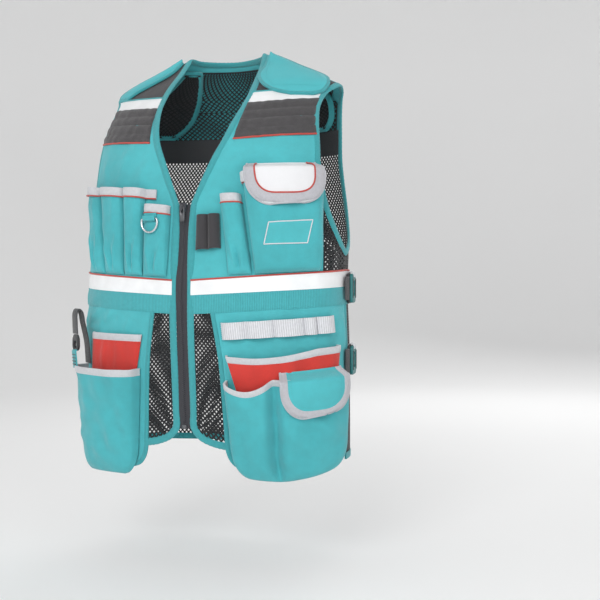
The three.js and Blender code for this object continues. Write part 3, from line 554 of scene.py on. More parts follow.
def net(name, patch, finish, pitch=NET_PITCH, hole=NET_HOLE, thick=0.8, **options):
    """Knitted mesh cloth with diamond holes, cut to a patch."""
    width, length = patch.size()
    columns = 2 * max(2, round(width / pitch)) + 1
    lines = 2 * max(2, round(length / (1.15 * pitch))) + 1
    i, j = np.meshgrid(np.arange(lines), np.arange(columns), indexing="ij")
    knots = (i + j) % 2 == 0
    index = -np.ones(i.shape, int)
    index[knots] = np.arange(knots.sum())
    spots = [np.stack([j[knots], i[knots]], axis=-1).astype(float)]
    holes = (~knots) & (i > 0) & (i < lines - 1) & (j > 0) & (j < columns - 1)
    hole_i, hole_j = i[holes], j[holes]
    around = np.array([(0, -1), (1, 0), (0, 1), (-1, 0)])
    for dj, di in around:
        spots.append(np.stack([hole_j + hole * dj, hole_i + hole * di], axis=-1))
    spots = np.concatenate(spots)
    knot_count, hole_count = int(knots.sum()), len(hole_i)
    outer_ring = [index[hole_i + di, hole_j + dj] for dj, di in around]
    inner_ring = [knot_count + k * hole_count + np.arange(hole_count) for k in range(4)]
    total = len(spots)
    faces = []
    for k in range(4):
        n = (k + 1) % 4
        front = np.stack([outer_ring[k], outer_ring[n], inner_ring[n], inner_ring[k]], axis=-1)
        faces += front.tolist()
        faces += (front[:, ::-1] + total).tolist()
        wall = [inner_ring[k], inner_ring[n], inner_ring[n] + total, inner_ring[k] + total]
        faces += np.stack(wall, axis=-1).tolist()
    rim = (~knots) & ~holes
    for row, column in zip(i[rim], j[rim]):
        near_by = [
            (row + di, column + dj)
            for dj, di in around
            if 0 <= row + di < lines and 0 <= column + dj < columns
        ]
        triangle = [index[spot] for spot in near_by]
        if len(triangle) == 3:
            gap = next(k for k, (dj, di) in enumerate(around) if (row + di, column + dj) not in near_by)
            turned = [around[(gap + m) % 4] for m in (1, 2, 3)]
            ordered = [index[row + di, column + dj] for dj, di in turned]
            faces.append(ordered)
            faces.append([total + v for v in ordered[::-1]])
            faces.append([ordered[2], total + ordered[2], total + ordered[0], ordered[0]])
    place_s, place_t = spots[:, 0] / (columns - 1), spots[:, 1] / (lines - 1)
    outer = patch.points(place_s, place_t)
    inner = outer - patch.normals(place_s, place_t) * thick
    across, level = patch.spot(place_s, place_t)
    uv = np.stack([across, level], axis=-1)
    piece = make_object(name, np.concatenate([outer, inner]), faces, finish, np.concatenate([uv, uv]))
    own(piece, replaces=options.get("replaces", ()))
    grid = patch.points(np.linspace(0, 1, 25)[None, :], np.linspace(0, 1, 25)[:, None])
    declare_cloth(grid)
    return piece


def resampled(points, spacing, looped=False):
    """Points, or whole sections, spaced evenly along a smooth line through the given ones."""
    points = np.asarray(points, float)
    middle = points if points.ndim == 2 else points.mean(axis=1)
    if looped:
        points = np.concatenate([points, points[:1]])
        middle = np.concatenate([middle, middle[:1]])
    steps = np.maximum(np.linalg.norm(np.diff(middle, axis=0), axis=-1), 1e-6)
    run = np.concatenate([[0], np.cumsum(steps)])
    shape = (-1,) + (1,) * (points.ndim - 1)
    slope = np.diff(points, axis=0) / steps.reshape(shape)
    if looped:
        tangent = np.concatenate([slope, slope[:1]])
        tangent[1:-1] = (slope[:-1] + slope[1:]) / 2
        tangent[0] = tangent[-1] = (slope[0] + slope[-1]) / 2
    else:
        tangent = np.concatenate([slope[:1], (slope[:-1] + slope[1:]) / 2, slope[-1:]])
    count = max(2, math.ceil(run[-1] / spacing))
    target = np.linspace(0, run[-1], count + 1)
    if looped:
        target = target[:-1]
    i = np.clip(np.searchsorted(run, target, side="right") - 1, 0, len(steps) - 1)
    t = ((target - run[i]) / steps[i]).reshape(shape)
    span = steps[i].reshape(shape)
    ease = t * t * (3 - 2 * t)
    bend = t * (1 - t) ** 2 * span * tangent[i] - t * t * (1 - t) * span * tangent[i + 1]
    return points[i] + (points[i + 1] - points[i]) * ease + bend


def sleeve_faces(count, ring, looped):
    """Faces of sections joined one to the next, with end faces unless it is looped."""
    faces = []
    for i in range(count if looped else count - 1):
        for k in range(ring):
            a, b = i * ring + k, i * ring + (k + 1) % ring
            n = (i + 1) % count
            faces.append([a, b, n * ring + (k + 1) % ring, n * ring + k])
    if not looped:
        faces.append(list(range(ring))[::-1])
        faces.append([(count - 1) * ring + k for k in range(ring)])
    return faces


def sleeve(name, sections, finish, looped=False, body=BODY, replaces=(), sharp=48):
    sections = np.asarray(sections, float)
    count, ring = sections.shape[:2]
    middle = sections.mean(axis=1)
    run = np.concatenate([[0], np.cumsum(np.linalg.norm(np.diff(middle, axis=0), axis=-1))])
    around = np.concatenate([[0], np.cumsum(np.linalg.norm(np.diff(sections[0], axis=0), axis=-1))])
    uv = np.stack(np.broadcast_arrays(around[None, :], run[:, None]), axis=-1).reshape(-1, 2)
    faces = sleeve_faces(count, ring, looped)
    piece = make_object(name, sections, faces, finish, uv, sharp)
    return own(piece, body, replaces)


# Cross sections as sideways and upward offsets
def round_section(radius, sides=8, flatness=1.0):
    turn = np.arange(sides) * 2 * math.pi / sides
    return np.stack([radius * np.cos(turn), flatness * radius * np.sin(turn)], axis=-1)


def band_section(width, thick, edge=0.6):
    """A flat band with rounded edges."""
    half, up = width / 2, thick / 2
    return np.array(
        [
            (-half, 0),
            (-half + edge * 0.3, up * 0.75),
            (-half + edge, up),
            (0, up),
            (half - edge, up),
            (half - edge * 0.3, up * 0.75),
            (half, 0),
            (half - edge * 0.3, -up * 0.75),
            (half - edge, -up),
            (0, -up),
            (-half + edge, -up),
            (-half + edge * 0.3, -up * 0.75),
        ]
    )


def swept(path, normals, section, looped=False):
    """Sections along a path: their first axis lies across it and their second along the normals."""
    if looped:
        ahead = np.roll(path, -1, axis=0) - np.roll(path, 1, axis=0)
    else:
        ahead = np.gradient(path, axis=0)
    ahead = unit(ahead)
    across = unit(np.cross(normals, ahead))
    up = unit(np.cross(ahead, across))
    return (
        path[:, None, :]
        + across[:, None, :] * section[None, :, :1]
        + up[:, None, :] * section[None, :, 1:]
    )


def trail(patch, s, t, extra=0.0, spacing=3.0):
    """A path with its normals along places on a patch, evenly spaced."""
    s, t = np.broadcast_arrays(np.asarray(s, float), np.asarray(t, float))
    path = patch.points(s, t, extra)
    both = resampled(np.stack([path, path + patch.normals(s, t)], axis=1), spacing)
    return both[:, 0], unit(both[:, 1] - both[:, 0])


def piping(name, patch, s, t, radius, finish, extra=0.4, sides=8, flatness=1.0, spacing=3.0):
    path, normals = trail(patch, s, t, extra, spacing)
    return sleeve(name, swept(path, normals, round_section(radius, sides, flatness)), finish)


STITCH = {"pitch": 3.2, "length": 2.3, "radius": 0.32}


class Stitches:
    """Rows of sewing thread, gathered into one piece for each colour."""

    def __init__(self):
        self.points = []

    def add(self, path, normals, pitch=STITCH["pitch"], length=STITCH["length"], radius=STITCH["radius"]):
        both = resampled(np.stack([path, path + normals], axis=1), pitch)
        path, normals = both[:, 0], unit(both[:, 1] - both[:, 0])
        ahead = unit(np.gradient(path, axis=0))
        across = unit(np.cross(normals, ahead))
        for sign, direction, reach in (
            (1, ahead, length / 2),
            (-1, ahead, length / 2),
            (1, across, radius),
            (-1, across, radius),
            (1, normals, radius),
            (-1, normals, radius),
        ):
            self.points.append(path + sign * reach * direction)
        stacked = np.stack(self.points[-6:], axis=1)
        self.points = self.points[:-6] + [stacked.reshape(-1, 3)]

    def along(self, patch, s, t, extra=0.35, **sizes):
        self.add(*trail(patch, s, t, extra), **sizes)

    def make(self, name, finish):
        points = np.concatenate(self.points)
        count = len(points) // 6
        upper = [(0, 2, 4), (2, 1, 4), (1, 3, 4), (3, 0, 4)]
        lower = [(2, 0, 5), (1, 2, 5), (3, 1, 5), (0, 3, 5)]
        corner = np.array(upper + lower)
        faces = (np.arange(count)[:, None, None] * 6 + corner[None]).reshape(-1, 3)
        return own(make_object(name, points, faces, finish, closed=False, sharp=80))


# Shader maths


class Value:
    """A number in a shader's node tree; Python's operators on it add Math nodes."""

    def __init__(self, tree, socket):
        self.tree = tree
        self.socket = socket

    @staticmethod
    def math(tree, operation, *values):
        node = tree.nodes.new("ShaderNodeMath")
        node.operation = operation
        for place, value in enumerate(values):
            if isinstance(value, Value):
                tree.links.new(value.socket, node.inputs[place])
            else:
                node.inputs[place].default_value = value
        return Value(tree, node.outputs[0])

    def __add__(self, other):
        return Value.math(self.tree, "ADD", self, other)

    __radd__ = __add__

    def __sub__(self, other):
        return Value.math(self.tree, "SUBTRACT", self, other)

    def __rsub__(self, other):
        return Value.math(self.tree, "SUBTRACT", other, self)

    def __mul__(self, other):
        return Value.math(self.tree, "MULTIPLY", self, other)

    __rmul__ = __mul__

    def __pow__(self, other):
        return Value.math(self.tree, "POWER", self, other)

    def wave(self, pitch):
        """A sine of this distance with the given pitch."""
        return Value.math(self.tree, "SINE", self * (2 * math.pi / pitch))

    def size(self):
        return Value.math(self.tree, "ABSOLUTE", self)


class Finish:
    """One material, built round its own shader."""

    def __init__(self, name, **fixed):
        self.material = bpy.data.materials.new(name)
        self.material.use_nodes = True
        self.tree = self.material.node_tree
        self.tree.nodes.clear()
        self.shader = self.add("ShaderNodeBsdfPrincipled", {}, fixed)
        output = self.add("ShaderNodeOutputMaterial", {}, {"Surface": self.shader.outputs[0]})
        output.is_active_output = True

    def add(self, kind, settings=None, sockets=None):
        node = self.tree.nodes.new(kind)
        for name, value in (settings or {}).items():
            setattr(node, name, value)
        for name, value in (sockets or {}).items():
            self.feed(node.inputs[name], value)
        return node

    def feed(self, target, value):
        if isinstance(value, Value):
            value = value.socket
        if isinstance(value, bpy.types.NodeSocket):
            self.tree.links.new(value, target)
        else:
            target.default_value = value

    def value(self, node, output=0):
        return Value(self.tree, node.outputs[output])

    def cloth_place(self):
        """Distances along the cloth in millimetres, as two values and a vector."""
        place = self.add("ShaderNodeTexCoord")
        sockets = {"Scale": 1 / MM, 0: place.outputs["UV"]}
        scaled = self.add("ShaderNodeVectorMath", {"operation": "SCALE"}, sockets)
        parts = self.add("ShaderNodeSeparateXYZ", {}, {0: scaled.outputs[0]})
        return self.value(parts, 0), self.value(parts, 1), scaled.outputs[0]

    def object_place(self):
        place = self.add("ShaderNodeTexCoord")
        return place.outputs["Object"]

    def noise(self, scale, detail=3.0, roughness=0.55, place=None):
        place = place or self.object_place()
        sockets = {"Vector": place, "Scale": scale, "Detail": detail, "Roughness": roughness}
        return self.value(self.add("ShaderNodeTexNoise", {}, sockets), "Fac")

    def mix(self, factor, first, second):
        node = self.add("ShaderNodeMix", {"data_type": "RGBA"})
        colours = [socket for socket in node.inputs if socket.type == "RGBA"]
        self.feed(node.inputs[0], factor)
        self.feed(colours[0], first)
        self.feed(colours[1], second)
        return next(socket for socket in node.outputs if socket.type == "RGBA")

    def spread(self, value, low, high, to_low=0.0, to_high=1.0):
        sockets = {"Value": value, "From Min": low, "From Max": high, "To Min": to_low, "To Max": to_high}
        node = self.add("ShaderNodeMapRange", {"interpolation_type": "SMOOTHSTEP"}, sockets)
        return self.value(node)

    def surface(self, colour, roughness=None, height=None, depth=0.0002, strength=0.6):
        self.feed(self.shader.inputs["Base Color"], colour)
        if roughness is not None:
            self.feed(self.shader.inputs["Roughness"], roughness)
        if height is not None:
            sockets = {"Strength": strength, "Distance": depth, "Height": height}
            bump = self.add("ShaderNodeBump", {}, sockets)
            self.feed(self.shader.inputs["Normal"], bump.outputs[0])
        return self.material


def rgba(colour, gain=1.0):
    return tuple(min(1.0, part * gain) for part in colour[:3]) + (1.0,)


def woven(name, colour, pitch=0.9, mottle_and_shade=0.10, rough=0.82, sheen=0.25, relief=0.5):
    """Plain woven cloth: threads both ways and fine creases, with a colour mottle that is partly random
    tone and partly painted shade in the bump's hollows and painted light on its rises.
    """
    finish = Finish(name, **{"Sheen Weight": sheen, "Sheen Roughness": 0.45, "Specular IOR Level": 0.32})
    u, v, _ = finish.cloth_place()
    warp, weft = u.wave(pitch), v.wave(pitch)
    weave = warp * weft
    broad = finish.noise(9.0, 2.0)
    fine = finish.noise(70.0, 4.0)
    thread = finish.noise(900.0, 2.0)
    # The tone is made from the same noises and weave as the bump height below: random tone, plus painted
    # shade where the cloth is low and painted light where it is high.
    tone = broad * 0.55 + fine * 0.3 + thread * 0.15 + weave * 0.05
    shaded = finish.mix(finish.spread(tone, 0.3, 0.7), rgba(colour, 1 - mottle_and_shade), rgba(colour, 1 + mottle_and_shade))
    height = weave * 0.12 + thread * 0.25 + fine * 0.9 + broad * 1.6
    roughness = finish.spread(fine, 0.3, 0.7, rough - 0.05, rough + 0.06)
    return finish.surface(shaded, roughness, height, depth=0.0011, strength=relief)


def knit_with_hole_shade(name, colour, hole_shade_colour, pitch=2.2, rough=0.9):
    """A dark knitted face cloth with rows of small holes, the sunken holes coloured a darker copy of the
    cloth as painted shade.
    """
    finish = Finish(name, **{"Sheen Weight": 0.2, "Specular IOR Level": 0.3})
    u, v, _ = finish.cloth_place()
    cells = (u + v).wave(pitch) * (u - v).wave(pitch)
    hole = finish.spread(cells, 0.25, 0.75)
    fine = finish.noise(120.0, 3.0)
    # The holes take the darker colour where the bump sinks them: painted shade.
    shaded = finish.mix(hole, rgba(colour), rgba(hole_shade_colour))
    # Lighter flecks follow the fine noise that also raises the bump: random tone and painted light on the
    # rises.
    toned = finish.mix(finish.spread(fine, 0.2, 0.8, 0.0, 0.35), shaded, rgba(colour, 1.5))
    return finish.surface(toned, rough, fine * 0.4 - hole * 0.6, depth=0.0005, strength=0.7)


def ribbed(name, colour, pitch=2.0, rough=0.7, along=True):
    """Woven webbing with ribs across or along its length."""
    finish = Finish(name, **{"Sheen Weight": 0.3, "Sheen Roughness": 0.4, "Specular IOR Level": 0.35})
    u, v, _ = finish.cloth_place()
    first, second = (u, v) if along else (v, u)
    rib = first.wave(pitch)
    pick = second.wave(pitch * 0.45)
    fine = finish.noise(260.0, 3.0)
    # The rib, pick and fine values that make the bump also set the colour: painted shade in the grooves and
    # low spots, painted light on the ridges and high spots.
    tone = rib * 0.25 + pick * 0.08 + fine * 0.5
    shaded = finish.mix(finish.spread(tone, -0.1, 0.6), rgba(colour, 0.78), rgba(colour, 1.08))
    return finish.surface(shaded, rough, rib * 0.8 + pick * 0.2 + fine * 0.5, depth=0.0004, strength=0.7)


def reflective(name, colour):
    """Pale reflective tape: a fine cross grid under a thin gloss, with small crinkles."""
    finish = Finish(name, **{"Specular IOR Level": 0.6, "Coat Weight": 0.15, "Coat Roughness": 0.35})
    u, v, _ = finish.cloth_place()
    grid = (u.wave(1.6).size() * v.wave(1.6).size()) ** 0.5
    crinkle = finish.noise(45.0, 3.0, 0.5)
    broad = finish.noise(14.0, 2.0)
    # The tone follows the crinkle and broad noises that also make the bump: random tone, with painted shade
    # in the crinkles' hollows and painted light on their rises.
    tone = finish.spread(crinkle * 0.6 + broad * 0.4, 0.3, 0.7)
    shaded = finish.mix(tone, rgba(colour, 0.93), rgba(colour, 1.03))
    roughness = finish.spread(crinkle, 0.3, 0.7, 0.42, 0.58)
    height = grid * 0.1 + crinkle * 1.2 + broad
    return finish.surface(shaded, roughness, height, depth=0.0014, strength=0.55)


def moulded(name, colour, rough=0.42):
    """Moulded plastic with a fine grain and worn high spots."""
    finish = Finish(name, **{"Specular IOR Level": 0.5})
    grain = finish.noise(1400.0, 2.0)
    wear = finish.noise(38.0, 4.0)
    shaded = finish.mix(finish.spread(wear, 0.55, 0.75, 0.0, 0.35), rgba(colour), rgba(colour, 1.5))
    roughness = finish.spread(wear, 0.3, 0.7, rough - 0.06, rough + 0.1)
    return finish.surface(shaded, roughness, grain, depth=0.00006, strength=0.5)


def plated(name, colour, rough=0.24):
    """Plated steel, slightly scratched."""
    finish = Finish(name, **{"Metallic": 1.0})
    scratch = finish.noise(420.0, 6.0, 0.7)
    broad = finish.noise(60.0, 2.0)
    shaded = finish.mix(finish.spread(broad, 0.3, 0.7), rgba(colour, 0.82), rgba(colour))
    roughness = finish.spread(scratch, 0.3, 0.7, rough - 0.06, rough + 0.16)
    return finish.surface(shaded, roughness, scratch, depth=0.00004, strength=0.4)




def make_finishes(colours):
    FINISHES.update(
        teal=woven("teal_cloth", colours.teal),
        teal_deep=woven("teal_pocket_cloth", colours.pocket_teal, mottle_and_shade=0.12),
        teal_pad=woven("teal_padded_cloth", colours.teal, pitch=1.2, mottle_and_shade=0.06, relief=0.3),
        teal_binding=ribbed("teal_binding", colours.binding, 1.7, 0.8, along=False),
        teal_band=ribbed("teal_ribbed_band", colours.pocket_teal, 2.6, 0.8),
        red=woven("red_cloth", colours.red, mottle_and_shade=0.12),
        red_cord=woven("red_piping", colours.piping, pitch=0.8),
        grey=woven("pale_grey_cloth", colours.pale, mottle_and_shade=0.04, relief=0.3),
        grey_binding=ribbed("pale_grey_binding", colours.pale_binding, 1.6, 0.72, along=False),
        grey_border=ribbed("flap_border", colours.border, 1.6, 0.72, along=False),
        grey_webbing=ribbed("pale_grey_webbing", colours.pale_binding, 3.4, 0.72),
        tape=reflective("reflective_tape", colours.tape),
        # The cloth's own colour scaled down to 0.45 and 0.3 is the colour of the sunken holes: painted
        # shade.
        dark=knit_with_hole_shade("dark_face_cloth", colours.dark, tuple(0.45 * c for c in colours.dark)),
        pad=knit_with_hole_shade("dark_pad_cloth", colours.pad, tuple(0.3 * c for c in colours.pad), 3.4, 0.58),
        dark_plain=woven("dark_cloth", colours.dark, pitch=0.9, mottle_and_shade=0.1),
        net=woven("dark_net_thread", colours.net, pitch=0.7, mottle_and_shade=0.2, relief=0.2),
        webbing=ribbed("dark_webbing", colours.webbing, 1.6, 0.75, along=False),
        zip_tape=ribbed("zip_tape", colours.zip_dark, 1.1, 0.7, along=False),
        zip_teeth=moulded("zip_teeth", colours.zip_dark, 0.35),
        metal=plated("plated_steel", (0.78, 0.79, 0.81)),
        gunmetal=plated("gunmetal", (0.17, 0.175, 0.185), 0.34),
        plastic_teal=moulded("teal_moulded_plastic", colours.buckle),
        plastic_dark=moulded("dark_moulded_plastic", (0.03, 0.032, 0.035)),
        thread=woven("teal_thread", colours.thread, pitch=0.5, mottle_and_shade=0.05),
        pale_thread=woven("pale_thread", colours.pale_binding, pitch=0.5, mottle_and_shade=0.05),
    )


# Shell pieces


def both_hands(make):
    for suffix, hand in (("l", 1), ("r", -1)):
        make(suffix, hand)


def cloth_lift(base, amount, seed, folds=(), hold=1.0):
    """The lift of cloth that lies on the form: its folds and rumples die out at its held edges."""

    def lift(s, t, across, level):
        edge = np.clip(np.minimum(np.minimum(s, 1 - s), np.minimum(t, 1 - t)) * 9, 0, 1)
        u = np.abs(across)
        waves = amount * (0.7 * rumple(across, level, 46, seed) + 0.3 * rumple(across, level, 19, seed + 1))
        height = (waves + folded(u, level, folds)) * (1 - hold + hold * edge)
        return base + np.maximum(height, -0.9) + 0 * s

    return lift


def make_fronts():
    both_hands(make_front)


def make_front(suffix, hand):
    near, far = slanted((-2, -2), (YOKE_BOTTOM[0] - 2, YOKE_BOTTOM[1] - 2), neck_side, arm_side)
    yoke = Patch(near, far, cloth_lift(1.2, 0.3, 11), hand=hand)
    sheet(f"yoke_{suffix}", yoke, "dark", 1.1, replaces=[f"yoke_{suffix}"])
    folds = PANEL_FOLDS_L if hand > 0 else PANEL_FOLDS_R
    near, far = slanted((-88, -80), (TAPE_TOP[0] - 2, TAPE_TOP[1] - 2), neck_side, panel_side)
    panel = Patch(near, far, cloth_lift(CLOTH, 0.8, 20 + hand, folds), hand=hand)
    sheet(f"front_panel_{suffix}", panel, "teal", 1.5, 3.0, replaces=[f"front_panel_{suffix}"])
    under_pad = (CHEST_TAPE_BOTTOM[0] - 1, CHEST_TAPE_BOTTOM[1] - 1)
    near, far = slanted(YOKE_BOTTOM, under_pad, neck_side, arm_side)
    tape = Patch(near, far, cloth_lift(2.5, 0.18, 31), hand=hand)
    sheet(f"chest_tape_{suffix}", tape, "tape", 1.0, 3.0, replaces=[f"chest_tape_{suffix}"])
    piping(f"yoke_piping_{suffix}", tape, np.linspace(0, 1, 20), 0, 1.3, "teal_binding", 0.3)
    make_chest_pad(suffix, hand)
    make_side_net(suffix, hand)


def panel_side(level):
    return np.where(level > -217, arm_side(level), at(SIDE_EDGE, "across", level))


PAD_RIBS = 4
PAD_REST = 2.6
PAD_RISE = 2.4


def make_chest_pad(suffix, hand):
    def near_edge(level):
        lower = np.clip((CHEST_TAPE_BOTTOM[0] - level) / 59, 0, 1)
        return neck_side(level) + 1.5 + 9 * lower

    near, far = slanted(CHEST_TAPE_BOTTOM, PAD_BOTTOM, near_edge, arm_side)

    def lift(s, t, across, level):
        rib = np.abs(np.sin(math.pi * PAD_RIBS * t)) ** 0.7
        ends = np.clip(np.minimum(s, 1 - s) * 30, 0, 1) ** 0.5
        return PAD_REST + PAD_RISE * rib * ends + 0.35 * rumple(across, level, 17, 41)

    pad = Patch(near, far, lift, hand=hand)
    sheet(f"chest_pad_{suffix}", pad, "pad", 1.6, 2.0, replaces=[f"chest_pad_{suffix}"], fill=0.4)
    piping(f"pad_piping_{suffix}", pad, np.linspace(0, 1, 30), 1, 1.5, "red_cord", 0.2)


def make_side_net(suffix, hand):
    def near(t):
        level = -236 - 116 * t
        return at(SIDE_EDGE, "across", level) - 2, level

    def far(t):
        level = -236 - 113 * t
        return np.where(level > ARM_FOOT, arm_side(level), seam_side(level)), level

    patch = Patch(near, far, cloth_lift(1.0, 0.25, 51), hand=hand)
    net(f"side_mesh_{suffix}", patch, "net", replaces=[f"side_mesh_{suffix}"])


def placket_side(level):
    return PLACKET - UNDER_BINDING + 0 * level


def make_waist():
    def make(suffix, hand):
        near, far = slanted(TAPE_TOP, TAPE_BOTTOM, placket_side, seam_side)
        tape = Patch(near, far, cloth_lift(2.3, 0.5, 61 + hand, hold=0.5), hand=hand)
        sheet(f"waist_tape_{suffix}", tape, "tape", 1.2, 2.5, replaces=[f"waist_tape_{suffix}"])
        piping(f"tape_piping_{suffix}", tape, np.linspace(0, 1, 50), 0, 1.3, "red_cord", 0.4)
        near, far = slanted(TAPE_BOTTOM, BAND_BOTTOM, placket_side, seam_side)
        folds = ((150, -385, 206, -404, 8, 1.6), (206, -376, 216, -404, 7, 2.0)) if hand < 0 else ()
        band = Patch(near, far, cloth_lift(2.4, 0.35, 65 + hand, folds), hand=hand)
        sheet(f"waistband_{suffix}", band, "teal_band", 2.0, 3.0, replaces=[f"waistband_{suffix}"])
        SEWING["thread"].along(band, np.linspace(0, 1, 60), 0.93)
        SEWING["thread"].along(band, np.linspace(0, 1, 60), 0.05)

    both_hands(make)
    back = back_patch(TAPE_TOP[1], TAPE_BOTTOM[1], seam_back, cloth_lift(2.0, 0.2, 71))
    sheet("waist_tape_back", back, "tape", 1.2, 3.0, replaces=["waist_tape_back"])
    piping("tape_piping_back", back, np.linspace(0, 1, 90), 0, 1.3, "red_cord", 0.4)
    band = back_patch(TAPE_BOTTOM[1], BAND_BOTTOM[1], seam_back, cloth_lift(2.4, 0.4, 73))
    sheet("waistband_back", band, "teal_band", 2.0, 3.5, replaces=["waistband_back"])
    SEWING["thread"].along(band, np.linspace(0, 1, 90), 0.9)


def back_patch(top, bottom, edge, lift):
    def near(t):
        level = top + (bottom - top) * t
        return -edge(level), level

    def far(t):
        level = top + (bottom - top) * t
        return edge(level), level

    return Patch(near, far, lift, front=False)


def make_back():
    yoke = back_patch(-2.5, -151, arm_back_side, cloth_lift(CLOTH, 0.6, 81, ()))
    yoke.lift = back_yoke_lift
    sheet("back_yoke", yoke, "teal", 1.3, 4.0, replaces=["back_yoke"])
    lining = back_patch(-14, -122, lining_side, level_lift(-1.0))
    looks = {"pitch": 8.0, "hole": 0.64, "thick": 0.7}
    net("back_lining", lining, "net", **looks, replaces=["back_lining"], rests_on=["back_yoke"])
    band = back_patch(-121, -160, lambda level: arm_back_side(level) - 1, level_lift(-0.6))
    sheet("back_band", band, "dark_plain", 1.5, 4.0, replaces=["back_band"])
    mesh = back_patch(-150, -349, back_net_side, cloth_lift(0.9, 0.5, 85))
    net("back_mesh", mesh, "net", replaces=["back_mesh"])
    tape = back_patch(-30, -50, lambda level: arm_back_side(level) - 37, cloth_lift(3.6, 0.1, 87))
    sheet("back_tape", tape, "tape", 1.0, 3.0, replaces=["back_tape"])
    foot = back_patch(-146, -156, arm_back_side, level_lift(3.0))
    sheet("yoke_hem_binding", foot, "teal_binding", 1.6, 3.5)
    for t in (0.15, 0.85):
        SEWING["thread"].along(foot, np.linspace(0.01, 0.99, 80), t)


def lining_side(level):
    return arm_back_side(level) - np.where(level > -75, 26, 6)


def back_yoke_lift(s, t, across, level):
    edge = np.clip(np.minimum(np.minimum(s, 1 - s), np.minimum(t, 1 - t)) * 9, 0, 1)
    waves = 0.5 * rumple(across, level, 60, 81)
    return CLOTH + np.maximum(waves + folded(across, level, BACK_FOLDS), -0.5) * edge


def back_net_side(level):
    return np.where(level > ARM_FOOT, arm_back_side(level), seam_back(level))


SKIRT_WAVES = 3.0
SKIRT_BACK_BOTTOM = -636


def make_skirts():
    def line_level(across):
        share = (across - PLACKET) / (SEAM - PLACKET)
        return BAND_BOTTOM[0] + (BAND_BOTTOM[1] - BAND_BOTTOM[0]) * share

    def make(suffix, hand):
        def near(t):
            level = line_level(PLACKET) + 2 - (585 + line_level(PLACKET) + 2) * t
            return PLACKET - UNDER_BINDING + 0 * t, level

        def far(t):
            level = line_level(50) + 2 - (607 + line_level(50) + 2) * t
            return at(HIP_EDGE, "across", level) + 2, level

        def lift(s, t, across, level):
            middle = np.sin(math.pi * s) * np.clip(t * 4, 0, 1)
            fold = 2.2 * np.sin(t * 9 + 2 * s) * np.clip((t - 0.45) * 3, 0, 1)
            return 0.9 + middle * (1.2 + fold)

        def sag(s, t):
            return 8.5 * np.sin(math.pi * np.clip(s, 0, 1)) ** 0.8 * np.clip(t, 0, 1) ** 6

        patch = Patch(near, far, lift, hand=hand, sag=sag)
        net(f"skirt_mesh_{suffix}", patch, "net", replaces=[f"skirt_mesh_{suffix}"])
        make_hip_panel(suffix, hand, line_level)

    both_hands(make)

    def waved(s, t, across, level):
        drop = np.clip(t * 1.3, 0, 1)
        sides = np.clip(np.minimum(s, 1 - s) * 14, 0, 1)
        wave = 1 + np.sin(across / 15.0 + 0.6 * np.sin(across / 41))
        return 1.0 + SKIRT_WAVES * 0.5 * drop * sides * wave

    skirt = back_patch(BAND_BOTTOM[1] + 1, SKIRT_BACK_BOTTOM + 2, seam_back, waved)
    net("skirt_mesh_back", skirt, "net", replaces=["skirt_mesh_back"])
    def hem_lift(s, t, across, level):
        return waved(s, 1, across, level) + 0.9

    hem = back_patch(SKIRT_BACK_BOTTOM + 9, SKIRT_BACK_BOTTOM - 1, seam_back, hem_lift)
    sheet("skirt_hem_back", hem, "teal_binding", 2.6, 3.5)
    SEWING["thread"].along(hem, np.linspace(0.005, 0.995, 110), 0.2)


def hip_corner(t, start, inset):
    """How far an edge turns in towards the foot."""
    turn = np.clip((t - start) / (1 - start), 0, 1)
    return inset * (1 - np.sqrt(np.maximum(0, 1 - turn**2)))


def make_hip_panel(suffix, hand, line_level):
    bottom = -640 if hand > 0 else -646
    low = 62 if hand > 0 else 70

    def near(t):
        level = line_level(50) + 2 + (bottom - line_level(50) - 2) * t
        return at(HIP_EDGE, "across", level) + hip_corner(t, 0.86, 24), level

    def far(t):
        level = BAND_BOTTOM[1] + 1 + (bottom + 14 - BAND_BOTTOM[1] - 1) * t
        return seam_side(level) - 0.6 - hip_corner(t, 0.86, low), level

    folds = HIP_FOLDS_L if hand > 0 else HIP_FOLDS_R
    patch = Patch(near, far, cloth_lift(CLOTH, 0.9, 90 + hand, folds, hold=0.7), hand=hand)
    sheet(f"hip_panel_{suffix}", patch, "teal", 1.5, 3.0, replaces=[f"hip_panel_{suffix}"])
    down = np.linspace(0.0, 1, 60)
    path_s = np.concatenate([0 * down, np.linspace(0, 1, 40), 1 + 0 * down])
    path_t = np.concatenate([down, np.ones(40), down[::-1]])
    path, normals = trail(patch, path_s, path_t, -0.6, 3.0)
    section = band_section(7.5, 3.4, 1.6)
    sleeve(f"hip_binding_{suffix}", swept(path, normals, section), "teal_binding")
    SEWING["thread"].along(patch, 0.035 + 0 * down[4:52], down[4:52])


# Bindings: strips folded over the garment's edges

FOLDED_EDGE = np.array(
    [
        (-0.12, 1.4),
        (0.0, 2.2),
        (0.2, 2.7),
        (0.5, 2.95),
        (0.8, 2.7),
        (0.97, 1.9),
        (1.06, 0.7),
        (0.98, -0.6),
        (0.8, -1.1),
        (0.45, -1.2),
        (0.1, -0.9),
        (-0.1, 0.2),
    ]
)
PUCKER_PITCH = 7.0
EDGE_COLUMNS = ("edge", "level", "inner", "drop")


def edge_sections(front, edge, edge_level, inner, inner_level):
    """Folded-edge sections on the form along a row of edge and inner places."""
    front = np.asarray(front, bool)[:, None]
    share, lift = FOLDED_EDGE[None, :, 0], FOLDED_EDGE[None, :, 1]
    across = inner[:, None] + (edge - inner)[:, None] * share
    level = np.minimum(inner_level[:, None] + (edge_level - inner_level)[:, None] * share, 0)
    above = np.maximum(inner_level[:, None] + (edge_level - inner_level)[:, None] * share, 0)
    front, lift = np.broadcast_to(front, across.shape), np.broadcast_to(lift, across.shape)
    points = lifted(front, across, level, lift)
    points[..., 2] += above
    return points


